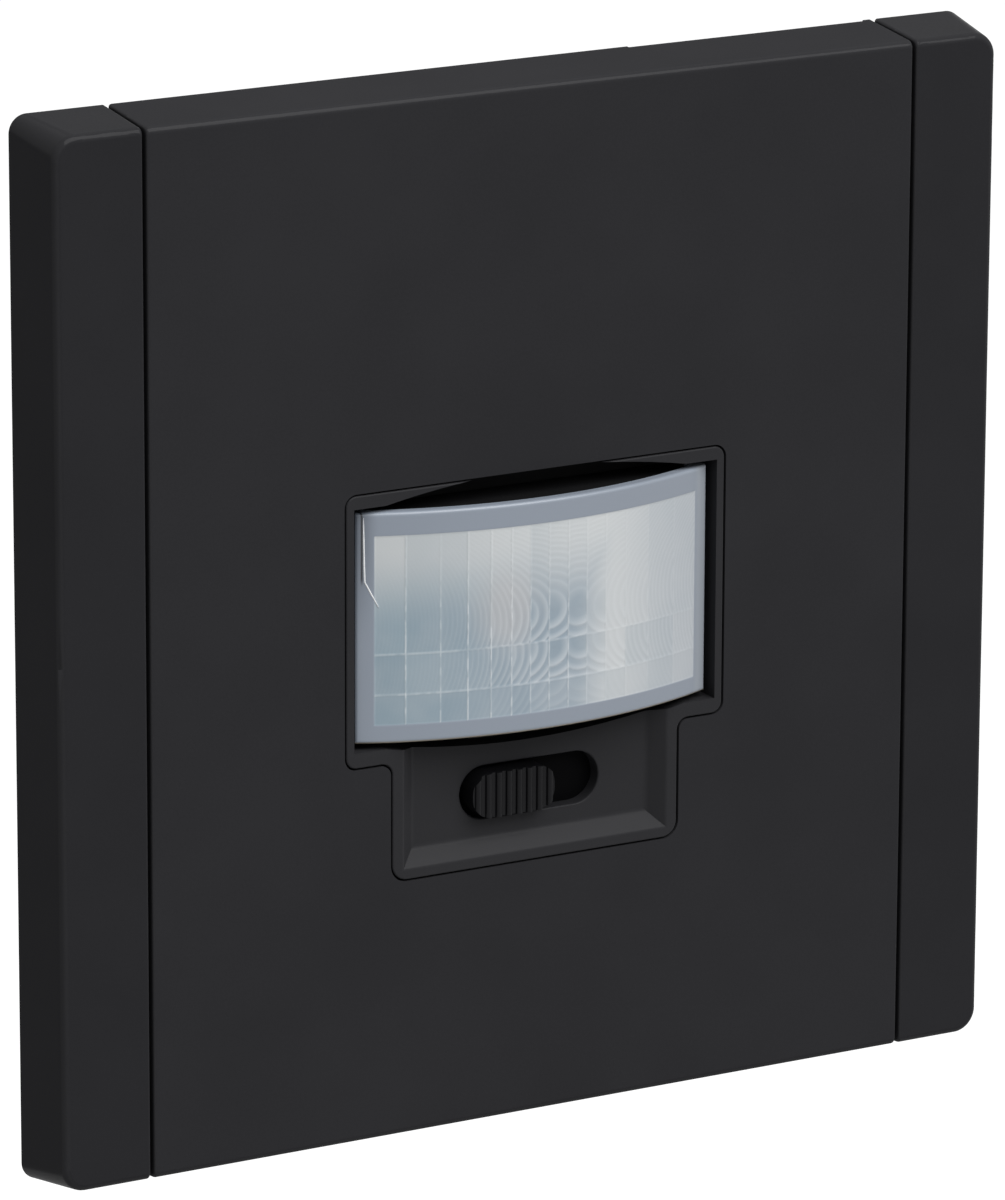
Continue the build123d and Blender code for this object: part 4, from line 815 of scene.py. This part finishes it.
def sweep_nick():
    """The nick as a low ridge along its path, thin at both ends."""
    mesh = bmesh.new()
    places = []
    for first, second in zip(NICK_PATH, NICK_PATH[1:]):
        for step in range(NICK_STEPS):
            share = step / NICK_STEPS
            places.append(Vector(first).lerp(Vector(second), share))
    places.append(Vector(NICK_PATH[-1]))
    loops = []
    for index, place in enumerate(places):
        before, after = places[max(index - 1, 0)], places[min(index + 1, len(places) - 1)]
        along = (after - before).normalized()
        across = Vector((along.y, -along.x))
        end = min(index, len(places) - 1 - index) / NICK_STEPS
        taper = NICK_TIP_SHARE + (1 - NICK_TIP_SHARE) * min(1.0, end) ** 0.5
        loop = []
        for side, lift in NICK_SECTION:
            spot = place + across * side * NICK_HALF_WIDTH * taper
            height = lens_front_height(spot.x) + (lift * taper if lift > 0 else lift)
            loop.append(mesh.verts.new((spot.x * mm, -height * mm, spot.y * mm)))
        loops.append(loop)
    close_tube(mesh, loops)
    return to_data(mesh, "lens_nick")


nick_data = sweep_nick()
print("nick faces", len(nick_data.polygons))


# %% Finish and place the nick
def torn_sheet():
    finish = Finish("lens_nick_edge")
    frayed = finish.noise(0.0003, 2.0)
    return finish.close(
        Base_Color=finish.blend(frayed, tone(214, 216, 218), tone(246, 247, 247)),
        Roughness=0.45 + frayed * 0.2,
        Normal=finish.relief(frayed, 0.00001),
    )


nick = place_piece("lens_nick", nick_data, "module", torn_sheet())
soften(nick, 60)
print("nick is", [round(value / mm, 2) for value in nick.dimensions], "mm")

# %% [markdown]
# ## Sizes read from the solid model
# The small pieces below sit on pieces of the solid model, so their places are read from it: a box in
# millimetres round a node, or round each of its separate lumps when a node holds several pins.

# %% Boxes round nodes and round their lumps
def span_of(points):
    """Lowest and highest corner of some points."""
    low = Vector([min(point[axis] for point in points) for axis in range(3)])
    high = Vector([max(point[axis] for point in points) for axis in range(3)])
    return low, high


def node_span(name):
    """The span of a whole node."""
    return span_of([vertex.co for vertex in nodes[name].data.vertices])


def lump_spans(name):
    """The spans of a node's separate lumps, found by walking along its edges, in a fixed order."""
    mesh = bmesh.new()
    mesh.from_mesh(nodes[name].data)
    bmesh.ops.remove_doubles(mesh, verts=mesh.verts, dist=0.001 * mm)
    waiting = set(mesh.verts)
    spans = []
    while waiting:
        front = [waiting.pop()]
        lump = list(front)
        while front:
            vertex = front.pop()
            for edge in vertex.link_edges:
                other = edge.other_vert(vertex)
                if other in waiting:
                    waiting.remove(other)
                    front.append(other)
                    lump.append(other)
        spans.append(span_of([vertex.co for vertex in lump]))
    mesh.free()
    return sorted(spans, key=lambda span: tuple(span[0]))


print("header pins", len(lump_spans("header_pins")))

# %% [markdown]
# ## Wound choke
# In the solid model the choke's wire is one plain drum. Here it is wound: a round wire follows a
# helix from flange to flange, each turn touching the next, and the drum is left out.

# %% Wind the wire
WIRE_RADIUS = 0.33 * mm
TURN_STEPS = 40
WIRE_SIDES = 8


def wind_choke():
    """One wire wound between the flanges, as close as its thickness lets it."""
    low, high = node_span("choke_winding")
    middle = (low + high) / 2
    wound = (high.x - low.x) / 2 - WIRE_RADIUS
    length = high.y - low.y - 2 * WIRE_RADIUS
    turns = int(length / (2 * WIRE_RADIUS))
    mesh = bmesh.new()
    loops = []
    for index in range(turns * TURN_STEPS + 1):
        angle = 2 * math.pi * index / TURN_STEPS
        outward = Vector((math.cos(angle), 0, math.sin(angle)))
        depth = low.y + WIRE_RADIUS + length * index / (turns * TURN_STEPS)
        centre = Vector((middle.x, depth, middle.z)) + outward * wound
        loop = []
        for side in range(WIRE_SIDES):
            turned = 2 * math.pi * side / WIRE_SIDES
            lift = outward * math.cos(turned) + Vector((0, 1, 0)) * math.sin(turned)
            loop.append(mesh.verts.new(centre + lift * WIRE_RADIUS))
        loops.append(loop)
    close_tube(mesh, loops)
    print("choke turns", turns)
    return to_data(mesh, "choke_turns")


turns_piece = place_piece(
    "choke_turns", wind_choke(), "module", made["enamelled_wire"], ["choke_winding"]
)
soften(turns_piece, 60)

# %% [markdown]
# ## Solder
# Each pin that passes through a board ends in a small cone of solder, hollow-sided where the metal
# crept up the pin. The two boards get their cones on the side that the pins come out of; parts whose
# legs are hidden in their bodies get a pair of cones behind the board as well.

# %% One cone of solder
CONE_FOOT = 0.85 * mm
CONE_TIP = 0.42 * mm
CONE_TALL = 0.75 * mm
CONE_RINGS = 5
CONE_SIDES = 14
CONE_SINK = 0.03 * mm
CONE_HOLLOW = 2.2
LEG_SHARE = 0.3


def add_cone(mesh, x, z, board_face, outward):
    """One cone at a place on a board's face, outward being 1 to the rear or -1 to the front."""
    loops = []
    for ring in range(CONE_RINGS + 1):
        share = ring / CONE_RINGS
        radius = CONE_TIP + (CONE_FOOT - CONE_TIP) * (1 - share) ** CONE_HOLLOW
        depth = board_face + outward * (CONE_TALL * share - CONE_SINK)
        loop = []
        for side in range(CONE_SIDES):
            turned = 2 * math.pi * side / CONE_SIDES
            spot = (x + radius * math.cos(turned), depth, z + radius * math.sin(turned))
            loop.append(mesh.verts.new(spot))
        loops.append(loop)
    close_tube(mesh, loops)


# %% Solder a whole board
def solder_board(board, pin_nodes, leg_nodes):
    """Cones behind a board, at the pins of some nodes and at two legs of each of the others."""
    rear = node_span(board)[1].y
    mesh = bmesh.new()
    count = 0
    for name in pin_nodes:
        for low, high in lump_spans(name):
            add_cone(mesh, (low.x + high.x) / 2, (low.z + high.z) / 2, rear, 1)
            count += 1
    for name in leg_nodes:
        low, high = node_span(name)
        middle = (low + high) / 2
        for side in (-1, 1):
            add_cone(mesh, middle.x + side * (high.x - low.x) * LEG_SHARE, middle.z, rear, 1)
            count += 1
    print(board, "cones", count)
    return to_data(mesh, board + "_solder")


# %% Solder both boards
SOLDERED = {
    "sensor_board": (
        ["slide_switch_pins", "pir_pins"],
        ["time_trimmer_case", "lux_trimmer_case", "light_sensor"],
    ),
    "power_board": (
        ["header_pins"],
        ["film_capacitor", "smoothing_capacitor", "choke_core"]
        + ["mains_fuse", "triac", "bridge_rectifier"],
    ),
}
for board, (pin_nodes, leg_nodes) in SOLDERED.items():
    cones = solder_board(board, pin_nodes, leg_nodes)
    finish = made["tinned_pins"]
    soften(place_piece(board + "_solder", cones, "module", finish), 50)

# %% [markdown]
# ## Small parts on the sensor board
# Between the big parts a board always carries a scatter of flat resistors and capacitors, each a
# small body with a tinned cap at both ends. They lie in two rows beside the chip, on the rear of
# the board. Body and caps are separate meshes, because each has its own finish.

# %% Places and sizes of the flat resistors
CHIP_ROW = [(x, z) for z in (-12.0, -6.5) for x in (-9.0, -5.5, -2.0)]
CHIP_ROW += [(8.0, -12.5), (12.0, -12.5)]
FLAT_LENGTH = 2.0 * mm
FLAT_WIDTH = 1.25 * mm
FLAT_TALL = 0.5 * mm
FLAT_CAP = 0.35 * mm
FLAT_EDGE = 0.06 * mm


def add_brick(mesh, low, high, edge):
    """A brick with its edges rounded."""
    made_now = bmesh.ops.create_cube(mesh, size=1.0)["verts"]
    middle, size = (low + high) / 2, high - low
    for vertex in made_now:
        vertex.co = Vector([middle[axis] + vertex.co[axis] * size[axis] for axis in range(3)])
    mesh.edges.index_update()
    edges = {link for vertex in made_now for link in vertex.link_edges}
    edges = sorted(edges, key=lambda link: link.index)
    bmesh.ops.bevel(mesh, geom=edges, offset=edge, segments=2, affect="EDGES", profile=0.5)


# %% Bodies and caps
def flat_bodies(rear):
    mesh = bmesh.new()
    for x, z in CHIP_ROW:
        reach = FLAT_LENGTH / 2 - FLAT_CAP
        half = FLAT_WIDTH / 2 - FLAT_EDGE
        low = Vector((x * mm - reach, rear, z * mm - half))
        high = Vector((x * mm + reach, rear + FLAT_TALL - FLAT_EDGE, z * mm + half))
        add_brick(mesh, low, high, FLAT_EDGE / 2)
    return to_data(mesh, "flat_resistor_bodies")


def flat_caps(rear):
    mesh = bmesh.new()
    for x, z in CHIP_ROW:
        for side in (-1, 1):
            middle = x * mm + side * (FLAT_LENGTH - FLAT_CAP) / 2
            low = Vector((middle - FLAT_CAP / 2, rear, z * mm - FLAT_WIDTH / 2))
            high = Vector((middle + FLAT_CAP / 2, rear + FLAT_TALL, z * mm + FLAT_WIDTH / 2))
            add_brick(mesh, low, high, FLAT_EDGE)
    return to_data(mesh, "flat_resistor_caps")


# %% Place the flat resistors
sensor_board_rear = node_span("sensor_board")[1].y
for name, data, slot in (
    ("flat_resistor_bodies", flat_bodies(sensor_board_rear), "chip_resin"),
    ("flat_resistor_caps", flat_caps(sensor_board_rear), "tinned_pins"),
):
    soften(place_piece(name, data, "module", made[slot]), 40)
print("flat resistors", len(CHIP_ROW))

# %% [markdown]
# ## Floor
# The photo has no floor at all: the switch floats on white. A pale floor lies well below it and
# glows only for rays that come straight from the camera, from a mirror or through glass. So it
# looks white, while the light that falls on the object stays at a plain level.

# %% Sizes of the floor, and the rays that see it white
FLOOR_DROP = -0.25
FLOOR_HALF = 6.0
FLOOR_TONES = [(0.36, 0.36, 0.36, 1), (0.4, 0.4, 0.4, 1)]
FLOOR_GLOW = 0.8


def seen_directly(finish):
    """1 for rays from the camera and for rays that a mirror or a clear body sends on."""
    names = ("Is Camera Ray", "Is Glossy Ray", "Is Transmission Ray")
    camera_ray, glossy_ray, sent_ray = [finish.add("LightPath", output=name) for name in names]
    return (camera_ray + glossy_ray + sent_ray).above(0.5)


# %% Lay the floor
floor_finish = Finish("pale_floor")
floor_cloud = floor_finish.noise(0.4, 2.0)
floor_base = floor_finish.blend(floor_cloud, FLOOR_TONES[0], FLOOR_TONES[1])
floor_body = floor_finish.add("BsdfDiffuse", {}, {"Color": floor_base})
floor_glow = floor_finish.add("Emission", {}, {"Strength": seen_directly(floor_finish) * FLOOR_GLOW})
floor_finish.add_output(floor_finish.add("AddShader", {}, {0: floor_body, 1: floor_glow}))
floor_mesh = bpy.data.meshes.new("floor")
signs = ((-1, -1), (1, -1), (1, 1), (-1, 1))
corners = [(x * FLOOR_HALF, y * FLOOR_HALF, FLOOR_DROP) for x, y in signs]
floor_mesh.from_pydata(corners, [], [(0, 1, 2, 3)])
floor_mesh.materials.append(floor_finish.material)
floor = bpy.data.objects.new("floor", floor_mesh)
scene.collection.objects.link(floor)
print("floor at", FLOOR_DROP, "m")

# %% [markdown]
# ## Lamp and world
# The world is white to the same rays as the floor and a plain grey to all others, which fills the
# shadows evenly. One broad lamp hangs in front, well above and a little to the right. It makes the
# top faces the brightest, the front next and the left side the darkest, as in the photo, and draws
# the thin line of light along the rounded top edge.

# %% Set the world
AMBIENT = 0.45
WHITE = (1, 1, 1, 1)
sky = Finish("studio", bpy.data.worlds)
strength = seen_directly(sky) * (1 - AMBIENT) + AMBIENT
sky.add_output(sky.add("Background", {}, {"Color": WHITE, "Strength": strength}), "World")
scene.world = sky.material
print("world fills with", AMBIENT)

# %% Hang the lamp
LAMP_SIZE = 1.1
LAMP_DISTANCE = 1.3
LAMP_POWER = 24.0
LAMP_LIFT = math.radians(52)
LAMP_SIDE = math.radians(-18)
lamp_data = bpy.data.lights.new("overhead_panel", "AREA")
lamp_data.shape = "SQUARE"
lamp_data.size = LAMP_SIZE
lamp_data.energy = LAMP_POWER
lamp = bpy.data.objects.new("overhead_panel", lamp_data)
aim = Vector(
    (
        -math.sin(LAMP_SIDE) * math.cos(LAMP_LIFT),
        -math.cos(LAMP_SIDE) * math.cos(LAMP_LIFT),
        math.sin(LAMP_LIFT),
    )
)
lamp.location = aim * LAMP_DISTANCE
lamp.rotation_euler = aim.to_track_quat("Z", "Y").to_euler()
scene.collection.objects.link(lamp)
print("lamp at", [round(value, 2) for value in lamp.location])

# %% [markdown]
# ## Finishes on the solid parts
# Each solid part arrives with a slot named after its material, and gets the finish of that name.
# Its mesh is left alone. The outer frame and the field round the lens have a finish of their own,
# because they were moulded apart from the plate and differ a shade from it.

# %% Put the finishes on the nodes
OWN_FINISH = {"cover_frame": "strip_plastic", "sensor_bezel": "bezel_plastic"}
for name in sorted(nodes):
    for slot in nodes[name].material_slots:
        key = slot.material.name.split(".")[0] if slot.material else "none"
        key = OWN_FINISH.get(name, key)
        if key in made:
            slot.material = made[key]
        else:
            print("no finish yet:", name, key)
print("solid parts finished", len(nodes))
